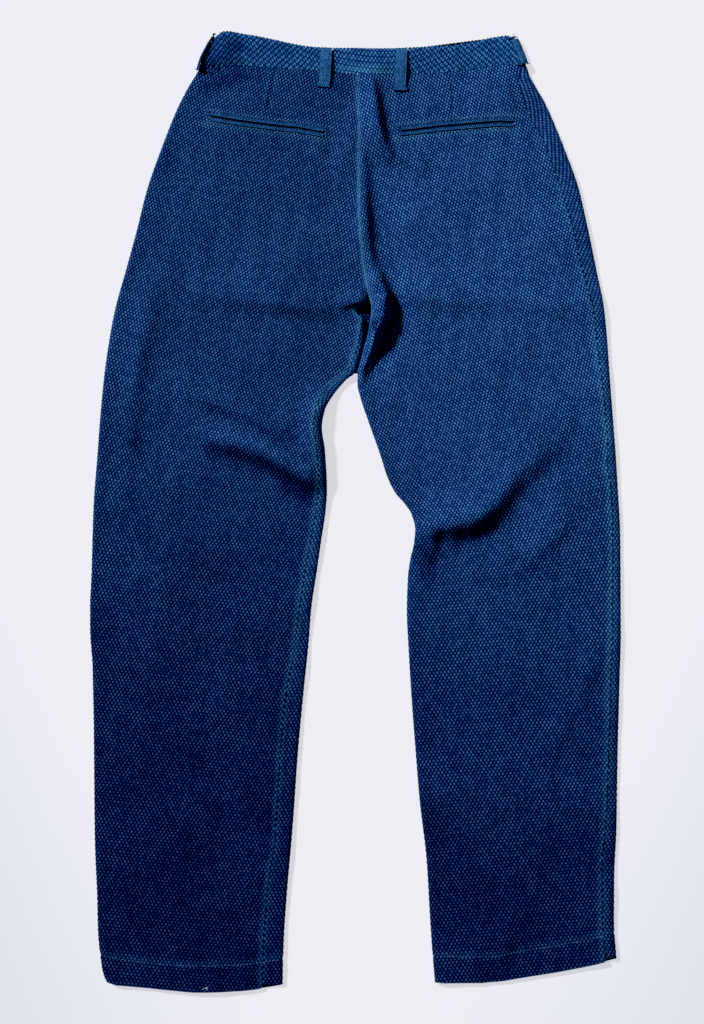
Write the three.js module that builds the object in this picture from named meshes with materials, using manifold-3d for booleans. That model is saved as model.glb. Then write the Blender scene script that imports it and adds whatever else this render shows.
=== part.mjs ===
// Straight-leg sashiko trousers lying flat with the back up, in millimetres.
// +X is the wearer's right, +Y is towards the waist, +Z is up, and the floor is z = 0.
// "down" is measured along the trousers from the top of the waist to the hems.
// "across" is X. Every cloth piece is a thin shell between an outer and an inner face.

import * as THREE from 'three';
import { mergeVertices } from 'three/addons/utils/BufferGeometryUtils.js';
import Module from 'manifold-3d';

const waistTopY = 509.2;
const clothThickness = 1.8;
const hemThickness = 2.6;
const hemDepth = 28;
const hemStep = 3;
const waistbandThickness = 2.6;
const seamGap = 0.3;
const waistSeamGap = 0.8;
const leastHeight = 4.5;
const waistFade = 120;
const hemFade = 110;
const bandRaise = 1.1;
const edgePuff = { height: 1.6, width: 12 };
// Distances down at which the two sides part, and at which the side edges meet the waist seam.
const sidesPart = 270;
const sideSeamTop = 40;
// The last bend of a front piece: its least length, and its share of the run beside it.
const frontEdge = { least: 2, share: 0.25 };
const seamRidge = { height: 0.7, width: 3.2 };
const underInset = 18;
const ringSteps = { quarter: 8, top: 90, under: 30 };
const probe = 0.8;
const firstRadius = 4;
const radiusRounds = 6;
const weldDistance = 1e-4;
const leastArea = 1e-9;
const loop = { width: 12, thickness: 1.6, bow: 2.4, rows: 8, columns: 3 };
const sideLoop = {
  under: 1.5, over: 12, columns: 6, lift: 0.6, shares: [0.14, 0.32, 0.5, 0.68, 0.86],
};
const welt = { height: 4.8, thickness: 1.2, slit: 0.9, columns: 12, rows: 2 };
const button = { radius: 8, thickness: 1.2, cornerRadius: 0.3, across: 14, down: 44, steps: 24 };
const buttonSeat = { clearance: 0.4, depth: 1.5, below: 1, cornerRadius: 0.1 };

// Outer edge of each side, seen from above: rows of [down, across].
const outerEdge = {
  left: [
    [2, -143], [11, -152], [18, -156.5], [30, -163], [43, -167.5], [62, -178.4],
    [83, -189], [126, -206], [168, -220.8], [211, -231.6], [253, -243], [290, -253.4],
    [322, -259.8], [361, -265.6], [401, -269.6], [444, -272.9], [507, -277.6],
    [571, -279.6], [613, -281.2], [634, -281.2], [677, -278.4], [762, -277],
    [846, -276.4], [910, -274], [953, -272.7], [985, -269.5], [1000, -266.5], [1008, -262.6],
  ],
  right: [
    [3, 163], [11, 171.5], [18, 174.5], [28, 178.5], [37, 181.5], [48, 184.8],
    [58, 190.2], [79, 202.4], [104, 213.3], [126, 222], [168, 237], [211, 246.8],
    [253, 255.6], [290, 263], [330, 267.2], [374, 270.2], [422, 274], [486, 278.4],
    [540, 281], [634, 281.4], [698, 279.8], [762, 278.2], [846, 276.8], [900, 274.4],
    [940, 274.2], [982, 276.8],
  ],
};

// Inner edge of each side: the centre back seam as far as the crotch, then the leg's inside.
const innerEdge = {
  left: [
    [35, 1.8], [62, 2.5], [104, 3.8], [162, 3.6], [197, 3.9], [220, 5.7], [253, 9],
    [276, 12.6], [290, 12.4], [306, 10.4], [322, 10.4], [334, 7.4], [349, 3.4], [361, -1.2],
    [370, -9.6], [385, -22.2], [401, -31.4], [420, -34.8], [444, -31.6], [486, -29.4],
    [507, -30.8], [540, -35.6], [571, -40], [613, -46.2], [645, -48.6], [698, -54],
    [762, -60], [846, -66], [910, -71.6], [953, -74.6], [985, -75.9], [1010, -76.3],
  ],
  right: [
    [35, 1.8], [62, 2.5], [104, 3.8], [162, 3.6], [197, 3.9], [220, 5.7], [253, 9],
    [276, 13], [290, 16.4], [300, 16.6], [311, 14.8], [322, 12.6], [334, 9.2], [349, 5.4],
    [361, 2.2], [374, 1.8], [390, 5.4], [414, 13.5], [450, 26.2], [473, 33.6], [491, 43],
    [501, 52], [512, 59], [528, 62.8], [542, 61.6], [560, 57.6], [580, 55], [615, 54],
    [650, 55.6], [701, 58.6], [762, 63.2], [815, 67.6], [879, 75], [937, 78.4],
    [975, 81], [1008, 83.8],
  ],
};

// Where the leg seams run, measured round the cloth from the edge that they are near:
// above 0 on the back, below 0 underneath. Rows of [down, inset].
const inseam = {
  left: [
    [288, 0], [300, 2.4], [312, 6], [330, 9], [349, 11], [377, 16], [404, 15.6], [457, 15],
    [493, 13], [560, 15], [645, 16.4], [698, 20.8], [767, 21.8], [852, 20.8], [912, 23.8],
    [1010, 24.4],
  ],
  right: [[288, 0], [300, -2.4], [312, -6], [330, -9], [377, -16], [450, -20], [1010, -20]],
};
const outseamRight = [
  [35, 9], [50, 15], [65, 22], [90, 25.6], [119, 21], [138, 23], [200, 20], [250, 18],
  [330, 14], [428, 10.6], [461, 13], [479, 10.4], [670, 12.6], [791, 12.6], [876, 16],
  [982, 15],
];

// Height of the middle of a leg above the floor, and how far the crotch has closed
// from two flat edges (0) to one round edge (1): rows of [down, value].
const bodyHeight = [
  [0, 7.4], [60, 6.6], [280, 6.6], [360, 6.2], [560, 5.6], [900, 5.2], [975, 5.6], [990, 7],
  [1020, 7.4],
];
const crotchClosing = [[0, 0], [252, 0], [290, 1], [1020, 1]];

// Top edge of the waist and the seam under the waistband: rows of [across, down].
const waistTop = [
  [-146, 1.6], [-135, 0.9], [-117, 3.8], [-91, 8.6], [-69, 13.4], [-48, 17], [-20, 18.2],
  [4, 18.4], [37, 19], [70, 17.6], [99, 15.8], [128, 11], [151, 6.5], [170, 4.8],
];
const waistSeam = [
  [-168, 43], [-150, 38.6], [-130, 36.8], [-99, 38.3], [-68, 40.6], [-44, 41.8], [2, 46],
  [79, 45], [132, 39], [157, 36.4], [182, 36.6],
];

// The same two edges underneath, on the front: straight from each side to the middle.
const frontTop = [[-144, 2.4], [2, 26], [164, 5.4]];
const frontSeam = [[-168, 43], [2, 54], [182, 36.6]];
const hemEdge = {
  left: [[-266, 1005.5], [-263, 1007.6], [-219, 1013.8], [-170, 1017.5], [-121, 1016], [-76, 1010]],
  right: [[83, 1007.6], [145, 1007.6], [164, 1004], [203, 998], [242, 990.7], [278, 982]],
};

// Folds of the cloth. Each has its height, its width on the lit side (up and left of the
// crest) and on the shaded side, and the crest as rows of [across, down].
const folds = [
  { name: 'seat ridge, upper', height: 3.4, lit: 26, shaded: 8,
    crest: [[6, 70], [7.5, 94], [6.5, 150], [6.5, 200]] },
  { name: 'seat ridge, lower', height: 7.5, lit: 34, shaded: 9,
    crest: [[6, 190], [8, 225], [12, 253], [18, 276]] },
  { name: 'right of the seat ridge', height: -1.6, lit: 12, shaded: 20,
    crest: [[22, 126], [28, 195], [38, 258], [46, 306], [38, 340]] },
  { name: 'below the right belt loop', height: 4.4, lit: 14, shaded: 7,
    crest: [[16, 62], [21, 80], [24, 101], [27, 118]] },
  { name: 'right inner thigh, top', height: 12.5, lit: 17, shaded: 17,
    crest: [[27, 290], [23, 312], [19, 332]] },
  { name: 'right inner thigh, foot', height: 6, lit: 15, shaded: 15,
    crest: [[18, 335], [12, 352], [10, 372]] },
  { name: 'right knee, inner part', height: 11.5, lit: 32, shaded: 12,
    crest: [[66, 538], [90, 529], [118, 522], [140, 512]] },
  { name: 'right knee, outer part', height: 9, lit: 30, shaded: 12,
    crest: [[142, 508], [156, 490], [168, 472], [190, 450], [206, 434]] },
  { name: 'right knee, soft', height: 3.6, lit: 22, shaded: 11,
    crest: [[220, 524], [186, 560], [158, 576]] },
  { name: 'left thigh', height: 6, lit: 28, shaded: 11,
    crest: [[-196, 420], [-140, 436], [-98, 453], [-74, 467], [-54, 473]] },
  { name: 'left seat crease', height: 2.4, lit: 24, shaded: 14,
    crest: [[-210, 279], [-120, 292], [-40, 302]] },
  { name: 'right seat crease', height: 1.8, lit: 24, shaded: 14,
    crest: [[64, 282], [160, 290], [255, 296]] },
  { name: 'left outer trough', height: -1.3, lit: 20, shaded: 20,
    crest: [[-207, 300], [-226, 390], [-235, 480]] },
  { name: 'right shin', height: 2.3, lit: 22, shaded: 12,
    crest: [[248, 676], [223, 728], [211, 760]] },
  { name: 'right hem', height: 1.6, lit: 20, shaded: 12,
    crest: [[187, 900], [172, 942], [158, 972]] },
  { name: 'left of the centre back', height: -1.4, lit: 14, shaded: 14,
    crest: [[-20, 70], [-18, 138]] },
  { name: 'crotch hollow', height: -4, lit: 12, shaded: 12,
    crest: [[2, 300], [6, 310]] },
];

// Rows of each side's panels, as distances down: closer together where folds cross the leg.
const panelRows = {
  left: [
    62, 84, 110, 140, 175, 210, 235, 252, 264, 275, 284, 292, 300, 309, 319, 332, 346, 360,
    373, 387, 402, 417, 430, 442, 454, 466, 480, 500, 530, 570, 620, 680, 750, 820, 890, 940, 972,
  ],
  right: [
    50, 68, 90, 115, 142, 175, 210, 235, 252, 264, 275, 284, 292, 300, 309, 319, 332, 346,
    360, 375, 395, 420, 440, 455, 470, 484, 497, 509, 521, 533, 546, 562, 582, 610, 650, 700,
    745, 800, 870, 920, 950,
  ],
};
// Rows of the waistband as shares of its height, and how far down its two ends reach.
const bandRows = [0, 0.12, 0.5, 0.88, 1];
const bandEnd = { left: [2, 41], right: [4, 37] };

// Centre lines of the pocket slits and belt loops: rows of [across, down].
const pocketSlit = {
  left: [[-154, 91], [-125, 95.8], [-93, 99.9], [-60, 103.1], [-34, 108]],
  right: [[47.5, 106.8], [88, 101.7], [127, 98.7], [152, 96.6], [167, 97]],
};
const backLoop = {
  left: { top: [-30.5, 18.6], foot: [-33, 60] },
  right: { top: [49, 19.6], foot: [47, 64] },
};

const clamp = (value, low, high) => Math.min(high, Math.max(low, value));
const mix = (from, to, share) => from + (to - from) * share;
const smooth = (share) => share * share * (3 - 2 * share);

// Value of a table at a place, along a curve through its rows that never overshoots them.
function along(table, place) {
  const last = table.length - 1;
  if (place <= table[0][0]) return table[0][1];
  if (place >= table[last][0]) return table[last][1];
  const i = table.findIndex((row) => row[0] > place) - 1;
  const slope = (k) => (table[k + 1][1] - table[k][1]) / (table[k + 1][0] - table[k][0]);
  const tangent = (k) => {
    if (k === 0) return slope(0);
    if (k === last) return slope(last - 1);
    const before = slope(k - 1);
    const after = slope(k);
    return before * after > 0 ? (2 * before * after) / (before + after) : 0;
  };
  const step = table[i + 1][0] - table[i][0];
  const t = (place - table[i][0]) / step;
  const t2 = t * t;
  const t3 = t2 * t;
  return (2 * t3 - 3 * t2 + 1) * table[i][1] + (t3 - 2 * t2 + t) * step * tangent(i)
    + (3 * t2 - 2 * t3) * table[i + 1][1] + (t3 - t2) * step * tangent(i + 1);
}

// Value of a table on the straight lines between its rows.
function straight(table, place) {
  const i = place < table[1][0] ? 0 : 1;
  const t = clamp((place - table[i][0]) / (table[i + 1][0] - table[i][0]), 0, 1);
  return mix(table[i][1], table[i + 1][1], t);
}

// Height that one fold adds: a bump that is steeper on its shaded side.
function foldHeight(fold, across, down) {
  let nearest = Infinity;
  let facing = 0;
  for (let i = 0; i + 1 < fold.crest.length; i += 1) {
    const [x0, y0] = fold.crest[i];
    const [x1, y1] = fold.crest[i + 1];
    const [dx, dy] = [x1 - x0, y1 - y0];
    const t = clamp(((across - x0) * dx + (down - y0) * dy) / (dx * dx + dy * dy), 0, 1);
    const [offX, offY] = [across - x0 - t * dx, down - y0 - t * dy];
    const distance = Math.hypot(offX, offY);
    if (distance < nearest) {
      nearest = distance;
      facing = distance > 0 ? (offX + offY) / (Math.SQRT2 * distance) : 0;
    }
  }
  const width = mix(fold.lit, fold.shaded, smooth((1 + facing) / 2));
  return fold.height * Math.exp(-((nearest / width) ** 2));
}

// Height of the upper face of the back, with its edges puffed up and its folds.
function backHeight(left, right, across, down) {
  const fromEdge = Math.min(across - left, right - across);
  let height = along(bodyHeight, down);
  height += edgePuff.height * Math.exp(-((fromEdge / edgePuff.width) ** 2));
  for (const fold of folds) height += foldHeight(fold, across, down);
  const spare = height - leastHeight;
  return leastHeight + (spare + Math.hypot(spare, 1)) / 2;
}

// One turn of the cloth's outer face: from the middle of the inner edge, over the top,
// round the outer edge and back underneath, with the distance run at each point.
function turn(inner, outer, heightAt, closing) {
  const out = Math.sign(outer - inner);
  const radiusAt = (edge, way) => {
    let radius = firstRadius;
    for (let i = 0; i < radiusRounds; i += 1) radius = heightAt(edge + way * radius) / 2;
    return radius;
  };
  const innerRadius = radiusAt(inner, out);
  const outerRadius = radiusAt(outer, -out);
  const points = [];
  const marks = {};
  for (let i = 0; i < ringSteps.quarter; i += 1) {
    const angle = (i / ringSteps.quarter) * Math.PI / 2;
    const x = inner + out * innerRadius * (1 - Math.cos(angle));
    points.push([x, mix(heightAt(x), innerRadius * (1 + Math.sin(angle)), closing)]);
  }
  marks.innerTop = points.length;
  const first = inner + out * innerRadius;
  const last = outer - out * outerRadius;
  for (let i = 0; i < ringSteps.top; i += 1) {
    const x = mix(first, last, i / ringSteps.top);
    points.push([x, heightAt(x)]);
  }
  marks.outerTop = points.length;
  for (let i = 0; i < 2 * ringSteps.quarter; i += 1) {
    const angle = (i / ringSteps.quarter) * Math.PI / 2;
    points.push([last + out * outerRadius * Math.sin(angle), outerRadius * (1 + Math.cos(angle))]);
  }
  marks.outerUnder = points.length;
  for (let i = 0; i < ringSteps.under; i += 1) {
    points.push([mix(last, first, i / ringSteps.under), 0]);
  }
  marks.innerUnder = points.length;
  for (let i = 0; i <= ringSteps.quarter; i += 1) {
    const angle = (i / ringSteps.quarter) * Math.PI / 2;
    const x = first - out * innerRadius * Math.sin(angle);
    points.push([x, innerRadius * (1 - Math.cos(angle)) * closing]);
  }
  const run = [0];
  for (let i = 1; i < points.length; i += 1) {
    const [x0, z0] = points[i - 1];
    run.push(run[i - 1] + Math.hypot(points[i][0] - x0, points[i][1] - z0));
  }
  for (const name of Object.keys(marks)) marks[name] = run[marks[name]];
  return { points, run, length: run[run.length - 1], open: closing < 1, ...marks };
}

// The point at a distance round a turn, which goes on past either end.
function pointOn(ring, distance) {
  let place = distance;
  if (place < 0) place += ring.length;
  if (place > ring.length) place -= ring.length;
  let i = ring.run.findIndex((value) => value > place) - 1;
  if (i < 0) i = ring.run.length - 2;
  const t = (place - ring.run[i]) / (ring.run[i + 1] - ring.run[i]);
  const [from, to] = [ring.points[i], ring.points[i + 1]];
  return [mix(from[0], to[0], t), mix(from[1], to[1], t)];
}

// Distances spread evenly between knots, with a count of steps for each stretch.
function spread(knots, counts) {
  const places = [knots[0]];
  counts.forEach((count, k) => {
    for (let i = 1; i <= count; i += 1) places.push(mix(knots[k], knots[k + 1], i / count));
  });
  return places;
}

// Distance down of a point in a panel row: the rows bend to the waist seam and the hem.
function rowDown(side, down, across, height) {
  const edge = outerX(side, down);
  const seamAtEdge = along(waistSeam, edge);
  const hemAtEdge = along(hemEdge[side], edge);
  const nearWaist = smooth(clamp(1 - (down - seamAtEdge) / waistFade, 0, 1));
  const nearHem = smooth(clamp(1 - (hemAtEdge - down) / hemFade, 0, 1));
  const seam = isUnder(height) ? straight(frontSeam, across) : along(waistSeam, across);
  return down + nearWaist * (seam - seamAtEdge)
    + nearHem * (along(hemEdge[side], across) - hemAtEdge);
}

function outerX(side, down) {
  return along(outerEdge[side], down);
}

function isUnder(height) {
  return height < leastHeight / 2;
}

// The turn of one side at a row, and the leg seams' places on it.
function panelTurn(side, down) {
  const out = side === 'left' ? -1 : 1;
  const outer = outerX(side, down);
  const innerDown = rowDown(side, down, along(innerEdge[side], down), leastHeight);
  const inner = along(innerEdge[side], innerDown) + out * seamGap / 2;
  const heightAt = (x) => {
    const [low, high] = [Math.min(inner, outer), Math.max(inner, outer)];
    const seamless = innerDown < sidesPart ? [-out * Infinity, outer] : [inner, outer];
    const [left, right] = [Math.min(...seamless), Math.max(...seamless)];
    return backHeight(left, right, clamp(x, low, high), rowDown(side, down, x, leastHeight));
  };
  const ring = turn(inner, outer, heightAt, along(crotchClosing, innerDown));
  const outset = side === 'left' ? -underInset : along(outseamRight, down);
  const outerMiddle = (ring.outerTop + ring.outerUnder) / 2;
  return { ring, inseam: along(inseam[side], innerDown), outseam: outerMiddle - outset };
}

// Outer points of a piece: places along each row's turn, given by the piece's own knots.
function panelPoints(side, rows, knotsOf, counts) {
  return rows.map((down) => {
    const { ring, inseam: inner, outseam } = panelTurn(side, down);
    const downAt = (x, z) => rowDown(side, down, x, z);
    return spread(knotsOf(ring, inner, outseam), counts).map((place) => (
      clothPoint(ring, place, downAt)
    ));
  });
}

// A point of the cloth's outer face, with the face's direction round the garment there.
function clothPoint(ring, place, downAt) {
  const [x, z] = pointOn(ring, place);
  const point = new THREE.Vector3(x, waistTopY - downAt(x, z), z);
  const within = (distance) => (ring.open ? clamp(distance, 0, ring.length) : distance);
  const [x0, z0] = pointOn(ring, within(place - probe));
  const [x1, z1] = pointOn(ring, within(place + probe));
  point.sideways = new THREE.Vector3(x1 - x0, downAt(x0, z) - downAt(x1, z), z1 - z0);
  return point;
}

// Raises the columns beside the seam at one end, where the turned-in cloth lies under it.
function raiseSeam(points, end) {
  for (const row of points) {
    const [at, beside] = end === 'first' ? row : [row.at(-1), row.at(-2)];
    if (at.z > leastHeight) at.z += seamRidge.height;
    if (beside.z > leastHeight) beside.z += seamRidge.height / 2;
  }
}

// Every point moved along the grid's own direction, which is in towards the cloth where
// the columns run to the right.
function movedIn(points, thicknessOf) {
  return points.map((row, i) => row.map((point, j) => {
    const before = points[Math.max(i - 1, 0)][j];
    const after = points[Math.min(i + 1, points.length - 1)][j];
    const lengthways = new THREE.Vector3().subVectors(after, before);
    const normal = new THREE.Vector3().crossVectors(point.sideways, lengthways).normalize();
    return point.clone().addScaledVector(normal, thicknessOf(i));
  }));
}

// A closed shell between two grids of points. Its faces point out on the first grid.
function shell(outside, inside, flipped) {
  const rows = outside.length;
  const columns = outside[0].length;
  const positions = [...outside.flat(), ...inside.flat()].flatMap((p) => [p.x, p.y, p.z]);
  const index = [];
  const quad = (a, b, c, d) => {
    if (flipped) index.push(a, c, b, a, d, c);
    else index.push(a, b, c, a, c, d);
  };
  const top = (i, j) => i * columns + j;
  const bottom = (i, j) => (rows + i) * columns + j;
  for (let i = 0; i + 1 < rows; i += 1) {
    for (let j = 0; j + 1 < columns; j += 1) {
      quad(top(i, j), top(i + 1, j), top(i + 1, j + 1), top(i, j + 1));
      quad(bottom(i, j), bottom(i, j + 1), bottom(i + 1, j + 1), bottom(i + 1, j));
    }
    quad(top(i, 0), bottom(i, 0), bottom(i + 1, 0), top(i + 1, 0));
    const end = columns - 1;
    quad(top(i, end), top(i + 1, end), bottom(i + 1, end), bottom(i, end));
  }
  for (let j = 0; j + 1 < columns; j += 1) {
    const end = rows - 1;
    quad(top(0, j), top(0, j + 1), bottom(0, j + 1), bottom(0, j));
    quad(top(end, j), bottom(end, j), bottom(end, j + 1), top(end, j + 1));
  }
  const geometry = new THREE.BufferGeometry();
  geometry.setAttribute('position', new THREE.Float32BufferAttribute(positions, 3));
  geometry.setIndex(index);
  return geometry;
}

// A cloth piece whose inner face lies at a thickness inside its outer points. Its columns
// run either way across the garment.
function clothShell(points, thicknessOf, towardsLeft) {
  const inside = movedIn(points, (i) => (towardsLeft ? -1 : 1) * thicknessOf(i));
  return shell(points, inside, towardsLeft);
}

const material = {
  panel: new THREE.MeshStandardMaterial({ color: 0x13346a, roughness: 0.95, metalness: 0 }),
  band: new THREE.MeshStandardMaterial({ color: 0x1a4278, roughness: 0.95, metalness: 0 }),
  loop: new THREE.MeshStandardMaterial({ color: 0x1c4c84, roughness: 0.95, metalness: 0 }),
  button: new THREE.MeshStandardMaterial({ color: 0x14233f, roughness: 0.45, metalness: 0 }),
};

const group = new THREE.Group();

function addPiece(name, geometry, paint) {
  geometry.computeVertexNormals();
  const piece = new THREE.Mesh(geometry, paint.clone());
  piece.name = name;
  group.add(piece);
}

// All the rows of one side, from the waist seam to the hem, where the cloth is folded double.
function rowsOf(side) {
  const start = along(waistSeam, outerX(side, sideSeamTop)) + waistSeamGap / 2;
  const end = side === 'left' ? hemEdge.left[1][1] : hemEdge.right.at(-1)[1];
  return [start, ...panelRows[side], end - hemDepth, end - hemDepth + hemStep, end]
    .filter((down, i, all) => i === 0 || down > all[i - 1]);
}

const panelThickness = (rows) => (i) => (
  rows[i] > rows.at(-1) - hemDepth + hemStep / 2 ? hemThickness : clothThickness
);

// Pieces of each side. A back piece runs over the top from the centre back seam or the
// inseam to the outseam, and a front piece takes the rest of the turn underneath. The knots
// are where its columns change from bend to flat, counts has the steps between them, and
// raised says at which end of its columns a seam stands up on the back.
const pieces = {
  back_left: {
    side: 'left',
    counts: [2, 20, 5, 1],
    knots: (ring, inner, outseam) => {
      const start = inner + seamGap / 2;
      const seam = Math.max(start + 2 * seamRidge.width, ring.innerTop);
      return [start, seam, ring.outerTop, ring.outerUnder, outseam - seamGap / 2];
    },
    raised: 'first',
  },
  front_left: {
    side: 'left',
    counts: [3, 6, 1],
    knots: (ring, inner, outseam) => {
      const end = ring.length + inner - seamGap / 2;
      const bend = Math.min(ring.innerUnder, end - frontEdge.least);
      const over = Math.min(ring.length + ring.innerTop, mix(bend, end, 1 - frontEdge.share));
      return [outseam + seamGap / 2, bend, over, end];
    },
    raised: 'last',
  },
  back_right: {
    side: 'right',
    counts: [1, 5, 18, 1],
    knots: (ring, inner, outseam) => {
      const start = inner + seamGap / 2;
      const bend = Math.max(-ring.innerTop, mix(start, ring.innerTop, frontEdge.share));
      const end = outseam - seamGap / 2;
      return [start, bend, ring.innerTop, end - 2 * seamRidge.width, end];
    },
    raised: 'last',
  },
  front_right: {
    side: 'right',
    counts: [1, 5, 3, 1],
    knots: (ring, inner, outseam) => {
      const end = ring.length + inner - seamGap / 2;
      const bend = Math.min(ring.innerUnder, end - frontEdge.least);
      return [outseam + seamGap / 2, ring.outerTop, ring.outerUnder, bend, end];
    },
    raised: 'first',
  },
};

const panelGrid = {};
for (const [name, piece] of Object.entries(pieces)) {
  const rows = rowsOf(piece.side);
  const points = panelPoints(piece.side, rows, piece.knots, piece.counts);
  raiseSeam(points, piece.raised);
  panelGrid[name] = points;
  const geometry = clothShell(points, panelThickness(rows), piece.side === 'left');
  addPiece(name, geometry, material.panel);
}

// Distance down of a waistband point, between its top edge and its seam.
function bandDown(share, across, height) {
  if (isUnder(height)) {
    return mix(straight(frontTop, across), straight(frontSeam, across) - waistSeamGap / 2, share);
  }
  return mix(along(waistTop, across), along(waistSeam, across) - waistSeamGap / 2, share);
}

// The waistband's turn at one row, from its left edge over the back to its right edge.
function bandTurn(share) {
  const left = outerX('left', mix(...bandEnd.left, share));
  const right = outerX('right', mix(...bandEnd.right, share));
  const rounded = share === 0 || share === 1 ? 0 : 1;
  const heightAt = (x) => (
    backHeight(left, right, x, bandDown(share, x, leastHeight)) + bandRaise * rounded
  );
  return turn(left, right, heightAt, 1);
}

function bandPoints(shares, knotsOf, counts) {
  return shares.map((share) => {
    const ring = bandTurn(share);
    const downAt = (x, z) => bandDown(share, x, z);
    return spread(knotsOf(ring), counts).map((place) => clothPoint(ring, place, downAt));
  });
}

// Place on a turn's underside that lies at a given X.
function placeUnder(ring, across) {
  const [x0] = pointOn(ring, ring.outerUnder);
  const [x1] = pointOn(ring, ring.innerUnder);
  return mix(ring.outerUnder, ring.innerUnder, (across - x0) / (x1 - x0));
}

const centreFront = 2;
const bandSides = (ring) => ({
  left: -ring.innerTop - underInset,
  right: ring.outerUnder + underInset,
});
const bandKnots = {
  waistband_back: (ring) => {
    const { left, right } = bandSides(ring);
    return [left, -ring.innerTop, ring.innerTop, ring.outerTop, ring.outerUnder, right];
  },
  waistband_front_right: (ring) => [
    bandSides(ring).right + seamGap, placeUnder(ring, centreFront + seamGap / 2),
  ],
  waistband_front_left: (ring) => [
    placeUnder(ring, centreFront - seamGap / 2), ring.length + bandSides(ring).left - seamGap,
  ],
};
const bandCounts = {
  waistband_back: [1, 5, 28, 5, 1],
  waistband_front_right: [10],
  waistband_front_left: [10],
};

const wasm = await Module();
wasm.setup();

// Turns a geometry into a solid for cutting, with shared corners merged.
function solidOf(geometry) {
  const bare = geometry.clone();
  bare.deleteAttribute('normal');
  bare.deleteAttribute('uv');
  const merged = mergeVertices(bare, weldDistance);
  return new wasm.Manifold(new wasm.Mesh({
    numProp: 3,
    vertProperties: new Float32Array(merged.attributes.position.array),
    triVerts: new Uint32Array(merged.index.array),
  }));
}

function geometryOf(solid) {
  const mesh = solid.getMesh();
  const geometry = new THREE.BufferGeometry();
  geometry.setAttribute('position', new THREE.Float32BufferAttribute(mesh.vertProperties, 3));
  geometry.setIndex(Array.from(mesh.triVerts));
  return geometry;
}

// A plain disc standing on z = bottom, with its edge eased by a small bevel.
function disc(radius, bottom, height, bevel) {
  const profile = [
    [0, bottom], [radius - bevel, bottom], [radius, bottom + bevel],
    [radius, bottom + height - bevel], [radius - bevel, bottom + height], [0, bottom + height],
  ].map(([x, y]) => new THREE.Vector2(x, y));
  const geometry = new THREE.LatheGeometry(profile, button.steps);
  geometry.rotateX(Math.PI / 2);
  geometry.translate(centreFront - button.across, waistTopY - button.down, 0);
  return geometry;
}

// A turned solid whose faces point in has a volume below 0: its triangles are turned over.
function facingOut(geometry) {
  const solid = solidOf(geometry);
  return solid.volume() < 0 ? geometryOf(solidOf(turnedOver(geometry))) : geometryOf(solid);
}

function turnedOver(geometry) {
  const copy = geometry.clone();
  const order = Array.from(copy.index.array);
  for (let i = 0; i < order.length; i += 3) [order[i], order[i + 1]] = [order[i + 1], order[i]];
  copy.setIndex(order);
  return copy;
}

for (const [name, knotsOf] of Object.entries(bandKnots)) {
  const points = bandPoints(bandRows, knotsOf, bandCounts[name]);
  panelGrid[name] = points;
  let geometry = clothShell(points, () => waistbandThickness, false);
  if (name === 'waistband_front_left') {
    const { clearance, depth, below, cornerRadius } = buttonSeat;
    const seat = disc(button.radius + clearance, -below, below + depth, cornerRadius);
    geometry = geometryOf(solidOf(geometry).subtract(solidOf(facingOut(seat))));
  }
  addPiece(name, geometry, material.band);
}
addPiece(
  'waist_button',
  facingOut(disc(button.radius, 0, button.thickness, button.cornerRadius)),
  material.button,
);

// Height of the highest cloth facet over a point of the plan.
function topAt(names, x, y) {
  let highest = 0;
  const test = (a, b, c) => {
    const area = (b.x - a.x) * (c.y - a.y) - (c.x - a.x) * (b.y - a.y);
    if (Math.abs(area) < leastArea) return;
    const v = ((x - a.x) * (c.y - a.y) - (c.x - a.x) * (y - a.y)) / area;
    const w = ((b.x - a.x) * (y - a.y) - (x - a.x) * (b.y - a.y)) / area;
    if (v < 0 || w < 0 || v + w > 1) return;
    highest = Math.max(highest, a.z + v * (b.z - a.z) + w * (c.z - a.z));
  };
  for (const name of names) {
    const points = panelGrid[name];
    for (let i = 0; i + 1 < points.length; i += 1) {
      for (let j = 0; j + 1 < points[i].length; j += 1) {
        test(points[i][j], points[i + 1][j], points[i + 1][j + 1]);
        test(points[i][j], points[i + 1][j + 1], points[i][j + 1]);
      }
    }
  }
  return highest;
}

// A strip that lies on other cloth: its lower face follows theirs, a seam gap above, and
// crosses the open seam under the waistband level with its sides.
function strip(plan, under, thickness, liftAt) {
  const restAt = (x, y) => Math.max(
    ...[-waistSeamGap, 0, waistSeamGap].map((step) => topAt(under, x, y + step)),
  );
  const low = plan.map((row, i) => row.map(([x, y]) => (
    new THREE.Vector3(x, y, restAt(x, y) + seamGap + liftAt(i))
  )));
  const high = low.map((row) => row.map((p) => new THREE.Vector3(p.x, p.y, p.z + thickness)));
  return shell(high, low, false);
}

// Upper and lower lips of each pocket, either side of its slit.
for (const side of ['left', 'right']) {
  const slit = pocketSlit[side];
  const [start, end] = [slit[0][0], slit.at(-1)[0]];
  for (const [lip, way] of [['upper', -1], ['lower', 1]]) {
    const plan = [];
    for (let i = 0; i <= welt.rows; i += 1) {
      const offset = way * (welt.slit / 2 + welt.height * i / welt.rows);
      const row = [];
      for (let j = 0; j <= welt.columns; j += 1) {
        const x = mix(start, end, j / welt.columns);
        row.push([x, waistTopY - along(slit, x) - offset]);
      }
      plan.push(row);
    }
    if (way < 0) plan.reverse();
    const geometry = strip(plan, [`back_${side}`], welt.thickness, () => 0);
    addPiece(`welt_${side}_${lip}`, geometry, material.band);
  }
}

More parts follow.
